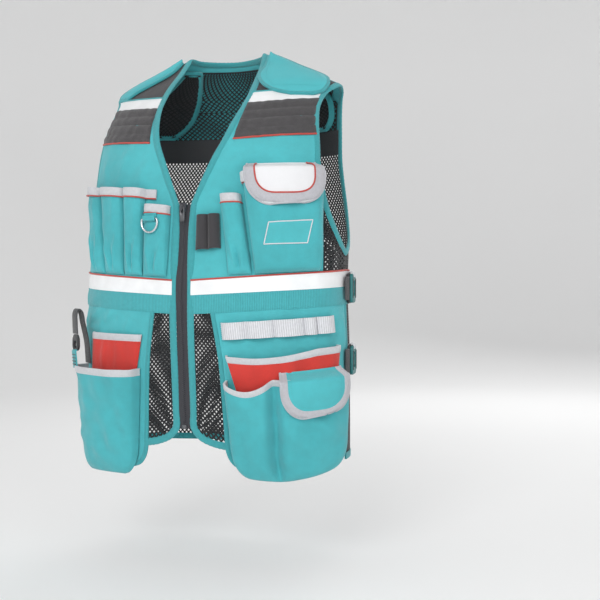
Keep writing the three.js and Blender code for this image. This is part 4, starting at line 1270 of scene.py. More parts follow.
def fold_strip(name, sections, looped, replaces):
    sections = resampled(sections, 3.0, looped)
    count = len(sections)
    centre = sections.mean(axis=1, keepdims=True)
    pucker = 1 + 0.05 * np.sin(np.arange(count) * 3.0 * 2 * math.pi / PUCKER_PITCH)
    sections = centre + (sections - centre) * pucker[:, None, None]
    piece = sleeve(name, sections, "teal_binding", looped, replaces=replaces)
    outer = sections[:, 2] * 0.75 + sections[:, 1] * 0.25
    direction = unit(sections[:, 3] - sections[:, 9])
    SEWING["thread"].add(outer + direction * 0.3, direction)
    return piece


def make_bindings():
    levels = np.concatenate([np.arange(-1, -12, -3.0), np.arange(-13, -250, -9.0), [-252.0]])
    edge, inner, drop = (at(NECK, key, levels) for key in ("edge", "inner", "drop"))
    back = np.linspace(-1, 1, 15)
    zeros = 0 * back
    neck = np.concatenate(
        [
            edge_sections(levels < 1, -edge, levels, -inner, levels - drop)[::-1],
            edge_sections(zeros > 0, 60 * back, zeros - 1, 62 * back, zeros - 7.5),
            edge_sections(levels < 1, edge, levels, inner, levels - drop),
        ]
    )
    fold_strip("neck_binding", neck, False, ["neck_binding"])

    def make(suffix, hand):
        edge, level, inner, drop = (ARM_FRONT[key] for key in EDGE_COLUMNS)
        front = edge_sections(level < 0, hand * edge, level, hand * inner, level - drop)
        edge, level, inner, drop = (ARM_BACK[key][1:-1][::-1] for key in EDGE_COLUMNS)
        back = edge_sections(level > 0, hand * edge, level, hand * inner, level - drop)
        name = f"armhole_binding_{suffix}"
        fold_strip(name, np.concatenate([front, back]), True, [name])
        edge, level, inner, drop = (HEM_CORNER[key] for key in EDGE_COLUMNS)
        placket = edge_sections(level < 0, hand * edge, level, hand * inner, level - drop)
        fold_strip(f"front_binding_{suffix}", placket, False, [f"front_binding_{suffix}"])

    both_hands(make)


# Shoulder pads

PAD_OUTLINES = {
    1: rows(
        "level start end",
        (-6, 76, 83),
        (-30, 78, 134),
        (-46, 76, 176),
        (-60, 86, 188),
        (-70, 101, 186),
        (-76, 117, 182),
        (-80, 137, 172),
    ),
    -1: rows(
        "level start end",
        (-6, 77, 83),
        (-22, 87, 112),
        (-32, 97, 138),
        (-48, 125, 178),
        (-60, 147, 187),
        (-68, 162, 185),
    ),
}
LINING_OUTLINE = rows(
    "level start end",
    (-14, 66, 92),
    (-40, 74, 128),
    (-66, 84, 170),
    (-90, 98, 176),
    (-108, 118, 168),
    (-117, 134, 156),
)


def make_shoulders():
    def make(suffix, hand):
        outline = PAD_OUTLINES[hand]

        def edge(key):
            def place(t):
                level = -7 + (outline["level"][-1] + 7) * t
                return np.minimum(at(outline, key, level), side(level) - 0.5), level

            return place

        def lift(s, t, across, level):
            crown = np.sin(math.pi * np.clip(s, 0.01, 0.985)) * (1 - np.clip(t, 0, 1) ** 3)
            return 5.6 + 4.6 * np.maximum(crown, 0) ** 0.5 + 0.25 * rumple(across, level, 40, 101)

        pad = Patch(edge("start"), edge("end"), lift, hand=hand)
        name = f"shoulder_pad_{suffix}"
        sheet(name, pad, "teal_pad", 2.0, 2.6, replaces=[name], fill=0.6)
        down = np.linspace(0.02, 1, 40)
        s = np.concatenate([0 * down, np.linspace(0, 1, 16), 1 + 0 * down])
        t = np.concatenate([down, np.ones(16), down[::-1]])
        path, normals = trail(pad, s, t, -1.6, 2.5)
        sleeve(f"pad_rim_{suffix}", swept(path, normals, band_section(6.5, 5.0, 2.2)), "teal_binding")
        inner_s = 0.11 + 0.78 * s
        inner_t = 0.06 + 0.79 * t
        SEWING["thread"].along(pad, inner_s, inner_t, 0.4, radius=0.4)
        make_pad_lining(suffix, hand)

    both_hands(make)


def make_pad_lining(suffix, hand):
    def edge(key):
        def place(t):
            level = -15 - 101 * t
            return np.minimum(at(LINING_OUTLINE, key, level), arm_back_side(level) - 8), level

        return place

    def lift(s, t, across, level):
        crown = np.sin(math.pi * np.clip(s, 0, 1)) * np.sin(math.pi * np.clip(t, 0, 1))
        return -4.6 - 3.4 * np.maximum(crown, 0) ** 0.5

    pad = Patch(edge("start"), edge("end"), lift, front=False, hand=hand)
    name = f"pad_lining_{suffix}"
    sheet(name, pad, "dark", 1.5, 3.0, replaces=[name], fill=0.5)
    down = np.linspace(0, 1, 30)
    s = np.concatenate([0 * down, np.linspace(0, 1, 14)[1:-1], 1 + 0 * down, np.linspace(1, 0, 14)[1:-1]])
    t = np.concatenate([down, np.ones(12), down[::-1], np.zeros(12)])
    both = np.stack([pad.points(s, t), pad.points(s, t) + pad.normals(s, t)], axis=1)
    both = resampled(both, 3.0, True)
    path, normals = both[:, 0], unit(both[:, 1] - both[:, 0])
    rim = swept(path, normals, band_section(10, 5, 2.2), True)
    sleeve(f"lining_rim_{suffix}", rim, "teal_binding", True)

    def net_lift(s, t, across, level):
        return lift(s, t, across, level) - 2.4

    face = Patch(pad.near, pad.far, net_lift, front=False, hand=hand)
    net(f"lining_net_{suffix}", face, "net", pitch=7.5, hole=0.62, thick=0.7)


# Pockets


def bulge(s, squareness):
    return (1 - np.minimum(np.abs(2 * s - 1), 1) ** squareness) ** (1 / squareness)


def pocket_lift(mouth, foot, squareness, seed, rumples=0.5, folds=(), pleat=None, base=LAYER + CLOTH):
    """How far a pocket's wall stands out over its base; a pleat draws it back in along a line."""

    def lift(s, t, across, level):
        close = (1 - np.clip(t, 0, 1) ** 8) ** (1 / 3)
        tuck = 0
        if pleat:
            place, width, depth = pleat
            tuck = depth * np.exp(-(((s - place) / width) ** 2)) * (0.5 + 0.5 * np.clip(t / 0.35, 0, 1))
        body = (mouth + (foot - mouth) * t) * bulge(s, squareness) * close * (1 - tuck)
        hold = np.clip(np.minimum(s, 1 - s) * 8, 0, 1) * np.clip((1 - t) * 5, 0, 1)
        waves = rumples * rumple(across, level, 34, seed) + folded(np.abs(across), level, folds)
        return base + body + hold * waves

    return lift


def mouth_binding(name, patch, height, cord=True, over=1.0):
    """A folded strip over a pocket's mouth, with piping under it."""
    length = patch.size()[1]
    top, bottom = -over / length, height / length

    def extra(s, t):
        return 0.9 * (1 - np.abs(2 * t - 1) ** 8)

    piece = sheet(name, patch, "grey_binding", 3.2, 2.4, window=(0, 1, top, bottom), extra=extra)
    if cord:
        s = np.linspace(0, 1, 60)
        piping(f"{name}_piping", patch, s, bottom + 1.0 / length, 1.15, "red_cord", 0.5)
    return piece


PENS = (
    ("pen_pocket_1", -1, ((160, -220), (200, -216)), ((142.5, -353), (182, -351))),
    ("pen_pocket_2", -1, ((106, -224), (157, -220)), ((101.5, -355.2), (140, -353.2))),
    ("pen_pocket_3", -1, ((66.5, -228), (103.5, -224)), ((66.5, -357), (99, -355.3))),
    ("pen_pocket_4", -1, ((22, -254), (64, -251)), ((24, -359.2), (64, -357.2))),
    ("pen_pocket_5", 1, ((58, -239), (89, -239)), ((74, -356.6), (109, -354.8))),
)
PEN_DEPTH = 15
# Pleats at a pen pocket's foot, on a cloth taken as 40 wide and 120 long
PEN_FOLDS = (
    (8, 60, 17, 120, 4.5, 2.4),
    (33, 66, 25, 120, 4.5, 2.2),
    (20, 74, 21, 122, 4.0, -3.0),
    (12, 10, 15, 60, 5.0, 0.9),
)


def pen_patch(top, bottom, hand, seed):
    near, far = corners(top, bottom)
    body = pocket_lift(PEN_DEPTH, 9, 2.6, seed, 0.8)

    def lift(s, t, across, level):
        folds = folded(s * 40, t * 120, PEN_FOLDS)
        return body(s, t, across, level) + folds * np.clip((1 - t) * 9, 0, 1)

    return Patch(near, far, lift, hand=hand)


def make_pens():
    for number, (name, hand, top, bottom) in enumerate(PENS):
        patch = pen_patch(top, bottom, hand, 120 + number)
        sheet(name, patch, "teal_deep", 1.5, 2.4, replaces=[name], rests_on=[])
        down = np.linspace(0.02, 0.97, 40)
        SEWING["thread"].along(patch, 0.004 + 0 * down, down, 0.2)
        if number in (3, 4):
            mouth_binding(f"{name}_binding", patch, 11.5)
    make_pen_band()


def make_pen_band():
    """One pale band runs over the mouths of the three outer pen pockets."""
    tops = [row[2] for row in PENS[:3]]

    def near(t):
        return 48 + 0 * t, -227.4 - 14.1 * t

    def far(t):
        return 202.5 + 0 * t, -216.7 - 13 * t

    def lift(s, t, across, level):
        u = np.abs(across)
        rise = 0 * s
        for (start, _), (end, _) in tops:
            place = np.clip((u - start + 0.6) / (end - start + 1.2), 0, 1)
            rise = np.maximum(rise, (PEN_DEPTH + 1.0) * bulge(place, 2.6))
        return LAYER + CLOTH + 0.6 + rise

    band = Patch(near, far, lift, hand=-1)
    sheet("pen_band", band, "grey_binding", 2.6, 2.2)
    piping("pen_band_piping", band, np.linspace(0, 1, 110), 1, 1.2, "red_cord", 0.2, spacing=2.2)
    SEWING["pale_thread"].along(band, np.linspace(0.01, 0.99, 110), 0.84)


METER = {"top": ((92, -222), (204, -219)), "bottom": ((113.5, -355), (208, -350)), "mouth": 26, "foot": 20}


def make_meter():
    near, far = corners(METER["top"], METER["bottom"])
    folds = ((150, -262, 128, -346, 12, 1.2), (196, -250, 188, -340, 10, 1.0))
    patch = Patch(near, far, pocket_lift(METER["mouth"], METER["foot"], 4, 131, 1.3, folds))
    sheet("meter_pocket", patch, "teal_deep", 1.5, 2.6, replaces=["meter_pocket"])
    mouth_binding("meter_mouth", patch, 0.6, over=13)
    down = np.linspace(0.12, 0.97, 60)
    for s in (0.1, 0.9):
        SEWING["thread"].along(patch, s + 0 * down, down, 0.3)
    make_patch(patch)
    flap = flap_patch(((95, -193), (195, -190)), 64, METER["mouth"] + CLOTH + 5.6, LAYER + CLOTH, 8, 141)
    sheet("meter_flap_cloth", flap, "grey", 2.0, 2.2, replaces=["meter_flap"], held="draped")
    flap_trim("meter_flap", flap, 0.135, 0.77, "red_cord")


def flap_patch(top, drop, over, base, lean, seed):
    """A flap that bends over a pocket's mouth and narrows to a rounded foot."""
    (near_across, near_level), (far_across, far_level) = top
    middle = (near_across + far_across) / 2

    def edge(across, top_level):
        def place(t):
            turn = np.clip((t - 0.4) / 0.6, 0, 0.999)
            narrow = 1 - 0.62 * (1 - np.sqrt(1 - turn**2))
            return middle + (across - middle) * narrow + lean * t, top_level - drop * t

        return place

    def lift(s, t, across, level):
        rise = np.clip(t / 0.22, 0, 1)
        ease = rise * rise * (3 - 2 * rise)
        shape = bulge(0.06 + 0.88 * np.clip(s, 0, 1), 4)
        waves = 0.4 * rumple(across, level, 30, seed)
        return base + (over - base) * ease * shape + 3.5 * ease + waves * ease

    return Patch(edge(near_across, near_level), edge(far_across, far_level), lift)


def flap_loop(side_inset, foot):
    turn = np.linspace(math.pi, 0, 70)
    reach = 0.5 - side_inset
    s = 0.5 + reach * np.sign(np.cos(turn)) * np.abs(np.cos(turn)) ** (2 / 4.5)
    t = foot * np.abs(np.sin(turn)) ** (2 / 4.5)
    return s, t


def even_places(s, t, size, count):
    """Places on a patch spaced evenly along a line through the given ones."""
    steps = np.hypot(np.diff(s) * size[0], np.diff(t) * size[1])
    run = np.concatenate([[0], np.cumsum(steps)])
    share = np.linspace(0, run[-1], count)
    return np.interp(share, run, s), np.interp(share, run, t)


def flap_trim(name, flap, inset, foot, line=None):
    """A pale border round a flap, with a line along its inner side."""
    size = flap.size()
    down, wide = np.linspace(0, 1, 60), np.linspace(0, 1, 30)
    rim_s = np.concatenate([0 * down, wide[1:-1], 1 + 0 * down])
    rim_t = np.concatenate([down, np.ones(28), down[::-1]])
    outer_s, outer_t = even_places(rim_s, rim_t, size, 110)
    loop_s, loop_t = even_places(*flap_loop(inset, foot), size, 110)
    inward = np.linspace(0, 1, 6)[None, :]
    s = outer_s[:, None] + (loop_s - outer_s)[:, None] * inward
    t = outer_t[:, None] + (loop_t - outer_t)[:, None] * inward
    rise = 1.1 * (1 - np.abs(2 * inward - 1) ** 6) + 0 * s
    top, under = flap.points(s, t, rise), flap.points(s, t, -0.3)
    uv = grid_uv(top).reshape(-1, 2)[:, ::-1]
    points = np.concatenate([top.reshape(-1, 3), under.reshape(-1, 3)])
    faces = shell_faces(*s.shape)
    border = make_object(f"{name}_border", points, faces, "grey_border", np.concatenate([uv, uv]))
    own(border)
    declare_cloth(top)
    if line:
        s, t = flap_loop(inset, foot)
        piping(f"{name}_line", flap, s, t, 1.25, line, 0.3, spacing=2.0)
    path, normals = trail(flap, rim_s, rim_t, -1.0, 2.5)
    sleeve(f"{name}_rim", swept(path, normals, band_section(3.4, 3.4, 1.2)), "grey_border")


LABEL = ((131, -281.5), (186, -280), (181, -313), (126, -313))


def make_patch(pocket):
    """A bare woven patch sewn to the pocket, with a pale stitched edge."""
    (a, b, c, d) = LABEL

    def locate(across, level):
        t = (np.array([level]) + 220.5) / -132
        start, end = pocket.near(t)[0], pocket.far(t)[0]
        return ((across - start) / (end - start))[0], t[0]

    near_top, far_top, far_low, near_low = (locate(*spot) for spot in (a, b, c, d))

    def edge(top, low):
        return lambda t: (top[0] + (low[0] - top[0]) * t, top[1] + (low[1] - top[1]) * t)

    near, far = edge(near_top, near_low), edge(far_top, far_low)

    def spot(s, t):
        (s0, t0), (s1, t1) = near(t), far(t)
        return s0 + (s1 - s0) * s, t0 + (t1 - t0) * s

    steps = np.linspace(0, 1, 24)
    s, t = spot(steps[None, :], steps[:, None])
    outer = pocket.points(s, t, 1.1)
    inner = pocket.points(s, t, -0.2)
    uv = grid_uv(outer).reshape(-1, 2)
    faces = shell_faces(24, 24)
    points = np.concatenate([outer, inner])
    piece = make_object("bare_patch", points, faces, "teal", np.concatenate([uv, uv]))
    own(piece)
    declare_cloth(outer)
    ring_s = np.concatenate([steps, 1 + 0 * steps, steps[::-1], 0 * steps])
    ring_t = np.concatenate([0 * steps, steps, 1 + 0 * steps, steps[::-1]])
    keep = np.r_[0:23, 24:47, 48:71, 72:95]
    s, t = spot(ring_s[keep], ring_t[keep])
    path = pocket.points(s, t, 1.0)
    normals = pocket.normals(s, t)
    section = round_section(0.9, 6, 0.7)
    sleeve("bare_patch_edge", swept(path, normals, section, True), "pale_thread", True)


def loop_patch(top, bottom, stitches, rise, hand=1):
    near, far = corners(top, bottom)
    stops = np.array(stitches)

    def lift(s, t, across, level):
        i = np.clip(np.searchsorted(stops, np.clip(s, 0, 1), side="left") - 1, 0, len(stops) - 2)
        local = (np.clip(s, 0, 1) - stops[i]) / (stops[i + 1] - stops[i])
        return LAYER + 1.6 + rise * np.sqrt(np.maximum(0, np.sin(math.pi * np.clip(local, 0, 1))))

    return Patch(near, far, lift, hand=hand)


def make_loops():
    tool = loop_patch(((22, -268), (57.5, -266)), ((22, -320), (61.5, -317)), (0, 0.5, 1), 9)
    sheet("tool_loop", tool, "dark_plain", 1.5, 1.2, replaces=["tool_loop"])
    hip_stitches = (0, 0.21, 0.45, 0.71, 0.82, 1)
    hip = loop_patch(((63, -426), (233, -416)), ((65, -451), (235, -441)), hip_stitches, 9)
    sheet("hip_loops", hip, "grey_webbing", 1.5, 1.6, replaces=["hip_loops"])
    down = np.linspace(0.04, 0.96, 12)
    for s in (0.004, 0.5, 0.996):
        SEWING["thread"].along(tool, s + 0 * down, down, 0.3)
    for s in (0.003, 0.21, 0.45, 0.71, 0.82, 0.997):
        SEWING["pale_thread"].along(hip, s + 0 * down, down, 0.3)


def make_hip_pockets():
    near, far = corners(((69, -475), (241, -461)), ((90, -548), (230, -542)))
    folds = ((170, -468, 158, -520, 10, 1.8), (110, -476, 122, -520, 12, 1.4))

    def sag(s, t):
        return 7.0 * np.sin(math.pi * np.clip(s / 0.75, 0, 1)) * (1 - t)

    red = Patch(near, far, pocket_lift(12, 9, 5, 151, 1.0, folds), sag=sag)
    sheet("red_pocket", red, "red", 1.5, 2.6, replaces=["red_pocket"])
    mouth_binding("red_pocket_binding", red, 9.5, cord=False)
    pouch = pouch_patch()
    sheet("hip_pouch", pouch, "teal_deep", 1.5, 2.4, replaces=["hip_pouch"])
    mouth_binding("hip_pouch_binding", pouch, 9, cord=False)
    flap = flap_patch(((148, -497.5), (231, -490)), 64, 28 + CLOTH + 7.0, LAYER + 12 + 2 * CLOTH, 2, 161)
    sheet("hip_flap_cloth", flap, "teal", 2.0, 2.2, replaces=["hip_flap"], held="draped")
    flap_trim("hip_flap", flap, 0.1, 0.87)
    s, t = flap_loop(0.15, 0.8)
    SEWING["thread"].along(flap, s, t, 0.3)


def pouch_patch():
    def near(t):
        return 68 + 12 * t + hip_corner(t, 0.72, 30), -512 - 145 * t

    def far(t):
        return 246 - 2 * t - hip_corner(t, 0.72, 32), -502 - 144 * t

    def sag(s, t):
        mouth = 14 * np.sin(math.pi * np.clip(s / 0.39, 0, 1))
        foot = 8 * np.sin(math.pi * np.clip(s, 0, 1))
        return mouth + (foot - mouth) * t

    folds = (
        (108, -540, 112, -630, 10, 2.2),
        (216, -545, 206, -630, 14, 1.6),
        (90, -560, 96, -620, 7, -1.4),
        (170, -560, 160, -640, 9, 1.6),
    )
    lift = pocket_lift(28, 18, 5, 155, 1.5, folds, pleat=(0.39, 0.05, 0.8))
    return Patch(near, far, lift, sag=sag)


def make_holster():
    near, far = corners(((68, -446.5), (174, -445)), ((92, -560), (186, -560)))
    folds = ((140, -450, 146, -500, 8, 2.0), (120, -452, 124, -500, 7, -1.2))
    back = Patch(near, far, pocket_lift(5, 4, 5, 171, 0.4, folds), hand=-1)
    sheet("holster_back", back, "red", 1.5, 2.6, replaces=["holster_back"])
    mouth_binding("holster_back_binding", back, 10, cord=False)

    def near(t):
        return 73 + 10 * t + hip_corner(t, 0.74, 24), -498 - 164 * t

    def far(t):
        return 202 - 4 * t - hip_corner(t, 0.74, 20), -497 - 166 * t

    folds = (
        (160, -515, 168, -640, 13, 1.8),
        (112, -520, 118, -640, 10, 1.2),
        (186, -520, 190, -620, 8, -1.4),
    )
    pouch = Patch(near, far, pocket_lift(32, 20, 3, 175, 1.5, folds), hand=-1)
    sheet("holster_pouch", pouch, "teal_deep", 1.6, 2.6, replaces=["holster_pouch"])
    mouth_binding("holster_mouth_binding", pouch, 10.5, cord=False)
    down = np.linspace(0.1, 0.8, 60)
    SEWING["thread"].along(pouch, 0.06 + 0 * down, down, 0.3)


# Zip, ring, strap and buckles


def local_frame(across, level, lift):
    """Axes on the front of the form: along the girth, inwards, and up."""
    origin = lifted(True, across, level, lift)
    ahead = lifted(True, across + 2, level, lift) - lifted(True, across - 2, level, lift)
    ahead[2] = 0
    ahead = unit(ahead)
    up = np.array([0.0, 0, 1])
    inward = -np.cross(ahead, up)
    return origin, ahead, inward, up


def placed(points, place):
    origin, ahead, inward, up = place
    points = np.asarray(points, float)
    return origin + points[..., :1] * ahead + points[..., 1:2] * inward + points[..., 2:3] * up


def rounded_outline(width, height, radius, steps=6):
    """A rectangle with rounded corners, as X and Z offsets."""
    points = []
    for corner, (sx, sz) in enumerate(((1, 1), (-1, 1), (-1, -1), (1, -1))):
        for k in range(steps + 1):
            turn = math.pi / 2 * (corner + k / steps)
            x = sx * (width / 2 - radius) + radius * math.cos(turn)
            z = sz * (height / 2 - radius) + radius * math.sin(turn)
            points.append((x, z))
    return np.array(points)


def at_depth(outline, depth):
    return np.stack([outline[:, 0], np.full(len(outline), depth), outline[:, 1]], axis=-1)


def slab(outline, thick, bevel, place, name, finish, body=BODY, replaces=(), shift=(0, 0, 0)):
    """A plate with bevelled edges."""
    middle = outline.mean(axis=0)
    inset = middle + (outline - middle) * (1 - bevel / np.abs(outline - middle).max())
    half = thick / 2
    loops = [(inset, -half), (outline, -half + bevel), (outline, half - bevel), (inset, half)]
    points = np.concatenate([at_depth(*loop) for loop in loops]) + np.array(shift, float)
    count = len(outline)
    faces = [list(range(count)), [3 * count + k for k in range(count)][::-1]]
    for ring in range(3):
        for k in range(count):
            a, b = ring * count + k, ring * count + (k + 1) % count
            faces.append([a, a + count, b + count, b])
    piece = make_object(name, placed(points, place), faces, finish, points[:, [0, 2]], 40)
    return own(piece, body, replaces)


def ring_plate(outer, inner, thick, bevel, place, name, finish, body=BODY, replaces=(), shift=(0, 0, 0)):
    """A bevelled plate with a hole."""
    half = thick / 2
    share = bevel / max(np.linalg.norm(outer - inner, axis=1).min(), 1e-6)
    section = ((share, -half), (1 - share, -half), (1, -half + bevel), (1, half - bevel))
    section += ((1 - share, half), (share, half), (0, half - bevel), (0, -half + bevel))
    loops = [(inner + (outer - inner) * w, depth) for w, depth in section]
    points = np.stack([at_depth(*loop) for loop in loops], axis=1) + np.array(shift, float)
    faces = sleeve_faces(len(outer), len(section), True)
    flat = points.reshape(-1, 3)
    piece = make_object(name, placed(flat, place), faces, finish, flat[:, [0, 2]], 40)
    return own(piece, body, replaces)


ZIP = {"half": 9.2, "top": -251, "bottom": -586}
SLIDER = (0.02, -256, 6.4)


def make_zip():
    def near(t):
        return -ZIP["half"] + 0 * t, ZIP["top"] + (ZIP["bottom"] - ZIP["top"]) * t

    def far(t):
        return ZIP["half"] + 0 * t, ZIP["top"] + (ZIP["bottom"] - ZIP["top"]) * t

    def lift(s, t, across, level):
        return 1.2 + 0.9 * np.exp(-(((s - 0.5) / 0.16) ** 2))

    patch = Patch(near, far, lift)
    sheet("zip_chain", patch, "zip_tape", 1.1, 1.6, replaces=["zip_chain"])
    make_teeth(patch)
    place = local_frame(*SLIDER)
    make_slider(place)
    stop_outline = rounded_outline(7.5, 6.5, 1.4)
    stop = local_frame(0.02, -583, 3.2)
    slab(stop_outline, 3.4, 0.7, stop, "zip_bottom_stop", "gunmetal")


def make_teeth(patch):
    """Interlocking teeth down the middle of the zip."""
    count = 214
    t = np.linspace(0.035, 0.985, count)
    across = np.where(np.arange(count) % 2 == 0, 0.47, 0.53)
    centre = patch.points(across, t, 0.2)
    normal = patch.normals(across, t)
    down = unit(patch.points(across, np.minimum(t + 0.002, 1)) - patch.points(across, t - 0.002))
    side_way = unit(np.cross(normal, down))
    block = np.array([(x, y, z) for x in (-1, 1) for y in (-1, 1) for z in (-1, 1)], float)
    size = block * np.array([1.7, 0.55, 0.75])
    size[block[:, 2] > 0] *= np.array([0.75, 0.7, 1])
    points = (
        centre[:, None]
        + side_way[:, None] * size[None, :, :1]
        + down[:, None] * size[None, :, 1:2]
        + normal[:, None] * size[None, :, 2:]
    )
    corner = np.array([(0, 1, 3, 2), (4, 6, 7, 5), (0, 4, 5, 1), (2, 3, 7, 6), (0, 2, 6, 4), (1, 5, 7, 3)])
    faces = (np.arange(count)[:, None, None] * 8 + corner[None]).reshape(-1, 4)
    own(make_object("zip_teeth", points, faces, "zip_teeth", closed=False, sharp=30))


def make_slider(place):
    body = np.array([(-5.5, 6.5), (5.5, 6.5), (5.0, 0), (3.6, -6.5), (-3.6, -6.5), (-5.0, 0)])
    slab(body, 5.0, 0.8, place, "zip_slider", "zip_teeth", replaces=["zip_slider"])
    outer = rounded_outline(4.4, 11, 1.9)
    hole = rounded_outline(2.4, 6.4, 1.0)
    origin, ahead, inward, up = place
    turned = (origin, inward, -ahead, up)
    ring_plate(outer, hole, 2.0, 0.3, turned, "slider_bridge", "zip_teeth", shift=(-4.7, 0, 0))
    pivot = (origin - inward * 3.85, ahead, inward, up)
    outer = rounded_outline(8, 22, 2.6)
    outer[:, 1] -= 10.1
    hole = rounded_outline(3.6, 8.2, 1.5)
    hole[:, 1] -= 5.2
    ring_plate(outer, hole, 1.8, 0.4, pivot, "zip_pull", "gunmetal", "pull", ["zip_pull"])


RING = {"across": -46.5, "level": -274, "lift": 22.35, "wire": 1.6, "half": 13.5, "shoulder": 6, "drop": 20}


def make_ring():
    place = local_frame(RING["across"], RING["level"], RING["lift"])
    half, shoulder = RING["half"], RING["shoulder"]
    turn = np.linspace(0, math.pi, 21)
    sink = shoulder + (RING["drop"] - shoulder) * np.sin(turn)
    bow = np.stack([half * np.cos(turn), 0 * turn, -sink], axis=-1)
    bar = [(-half, 0, -shoulder / 2), (-half + 1.2, 0, -0.4), (-half + 3, 0, 0), (-4, 0, 0), (4, 0, 0)]
    bar += [(half - 3, 0, 0), (half - 1.2, 0, -0.4), (half, 0, -shoulder / 2)]
    path = resampled(placed(np.concatenate([bow, bar]), place), 1.2, True)
    normals = np.broadcast_to(-place[2], path.shape)
    section = round_section(RING["wire"], 12)
    sleeve("d_ring", swept(path, normals, section, True), "metal", True, "ring", ["d_ring"], 60)
    tab = [(0, 3.0, 9), (0, 3.0, 6), (0, 2.8, 1.5), (0, 1.9, -1.9), (0, 0, -2.9), (0, -1.9, -1.9)]
    tab += [(0, -2.8, 1.0), (0, -2.6, 4.5)]
    path = resampled(placed(np.array(tab, float), place), 1.2)
    ahead = unit(np.gradient(path, axis=0))
    normals = np.cross(ahead, np.broadcast_to(place[1], path.shape))
    section = band_section(21, 1.4, 0.6)
    sleeve("ring_tab", swept(path, normals, section), "teal_deep", replaces=["ring_tab"])


STRAP = rows(
    "level lift",
    (-494, 9.5),
    (-478, 10.2),
    (-462, 11.4),
    (-430, 18),
    (-412, 22.5),
    (-409, 27),
    (-414, 30),
    (-430, 30.5),
    (-447.3, 30),
)


def make_retention():
    across = -187
    stops = zip(STRAP["level"], STRAP["lift"])
    path = resampled([lifted(True, across, level, lift) for level, lift in stops], 2.0)
    place = local_frame(across, -461, 29)
    ahead = place[1]
    along = unit(np.gradient(path, axis=0))
    normals = np.cross(along, np.broadcast_to(ahead, path.shape))
    section = band_section(21, 1.8, 0.8)
    sleeve("retention_strap", swept(path, normals, section), "webbing", replaces=["retention_strap"])
    outer = rounded_outline(24, 26, 8)
    angle = np.arctan2(outer[:, 1] + 3, outer[:, 0])
    hole = np.stack([6 * np.cos(angle), 6 * np.sin(angle) - 3], axis=-1)
    ring_plate(outer, hole, 5, 1.2, place, "retention_clip", "plastic_dark", replaces=["retention_clip"])
    inward = place[2]
    tab = [(0, -0.4, -10), (0, -3.4, -13.5), (0, -3.2, -17), (0, -2.4, -24), (0, -1.6, -33), (0, -1.0, -40)]
    path = resampled(placed(np.array(tab, float), place), 1.5)
    along = unit(np.gradient(path, axis=0))
    normals = np.cross(along, np.broadcast_to(ahead, path.shape))
    sleeve("strap_tab", swept(path, normals, band_section(17, 2.0, 0.8)), "teal_band")
    for step in (-19, -24, -29, -34):
        near_end = (-7, -3.8 - 0.06 * (step + 19), step)
        bar = resampled(placed(np.array([near_end, (0, -3.9, step), (7, -3.8, step)], float), place), 2.0)
        facing = np.broadcast_to(-inward, bar.shape)
        name = f"tab_rib_{-step}"
        sleeve(name, swept(bar, facing, round_section(0.8, 8)), "webbing")


BUCKLES = (("upper", -376, 2.3), ("lower", -486, 0.5))


def make_buckles():
    def make(suffix, hand):
        for name, level, stand_off in BUCKLES:
            across = hand * (side(level) + 17)
            place = local_frame(across, level, stand_off + 5)
            make_buckle(f"side_buckle_{name}_{suffix}", place, hand)

    both_hands(make)


def make_buckle(name, place, hand):
    outline = rounded_outline(36, 46, 7)
    dark = "plastic_dark"
    slab(outline, 4.6, 1.2, place, f"{name}_base", dark, shift=(0, 2.6, 0))
    hole = rounded_outline(17, 24, 4)
    shift = (0, -2.2, 0)
    ring_plate(outline * 0.97, hole, 5.0, 1.3, place, name, "plastic_teal", replaces=[name], shift=shift)
    tongue = rounded_outline(13, 18, 3)
    slab(tongue, 3.6, 0.9, place, f"{name}_tongue", "plastic_teal", shift=(0, -1.6, 0))
    for rib, x in (("a", -14.2), ("b", 14.2)):
        slab(rounded_outline(2.0, 30, 0.9), 1.4, 0.5, place, f"{name}_grip_{rib}", dark, shift=(x, -4.9, 0))
    _, ahead, _, up = place
    for end, direction in (("rear", 1), ("nose", -1)):
        reach = ((16, 2.2), (20, 0.5), (24, 1.2), (31, 4.6))
        loop = [(out * direction, depth, 0) for out, depth in reach]
        path = resampled(placed(np.array(loop, float), place), 2.0)
        along = unit(np.gradient(path, axis=0))
        normals = np.cross(along, np.broadcast_to(up, path.shape))
        section = band_section(36, 1.8, 0.8)
        sleeve(f"{name}_strap_{end}", swept(path, normals, section), "webbing")
    cap = [(0, 4.2, 16), (0, 4.4, 22), (0, 2.8, 24.6), (0, 0, 25.2)]
    cap += [(0, -2.8, 24.4), (0, -4.8, 21.5), (0, -5.0, 17)]
    path = resampled(placed(np.array(cap, float), place), 1.5)
    along = unit(np.gradient(path, axis=0))
    normals = np.cross(along, np.broadcast_to(ahead, path.shape))
    sleeve(f"{name}_cap", swept(path, normals, band_section(17, 1.6, 0.7)), "grey_webbing")


def make_sewing():
    SEWING["thread"].make("stitches_teal", "thread")
    SEWING["pale_thread"].make("stitches_pale", "pale_thread")


# Stage: floor, light and camera

CAMERA = {"azimuth": 25.0, "distance": 1.65, "eye": -0.368, "focal_px": 1031.0, "centre_px": (215.7, 283.0)}
IMAGE = 600
FLOOR = -0.80


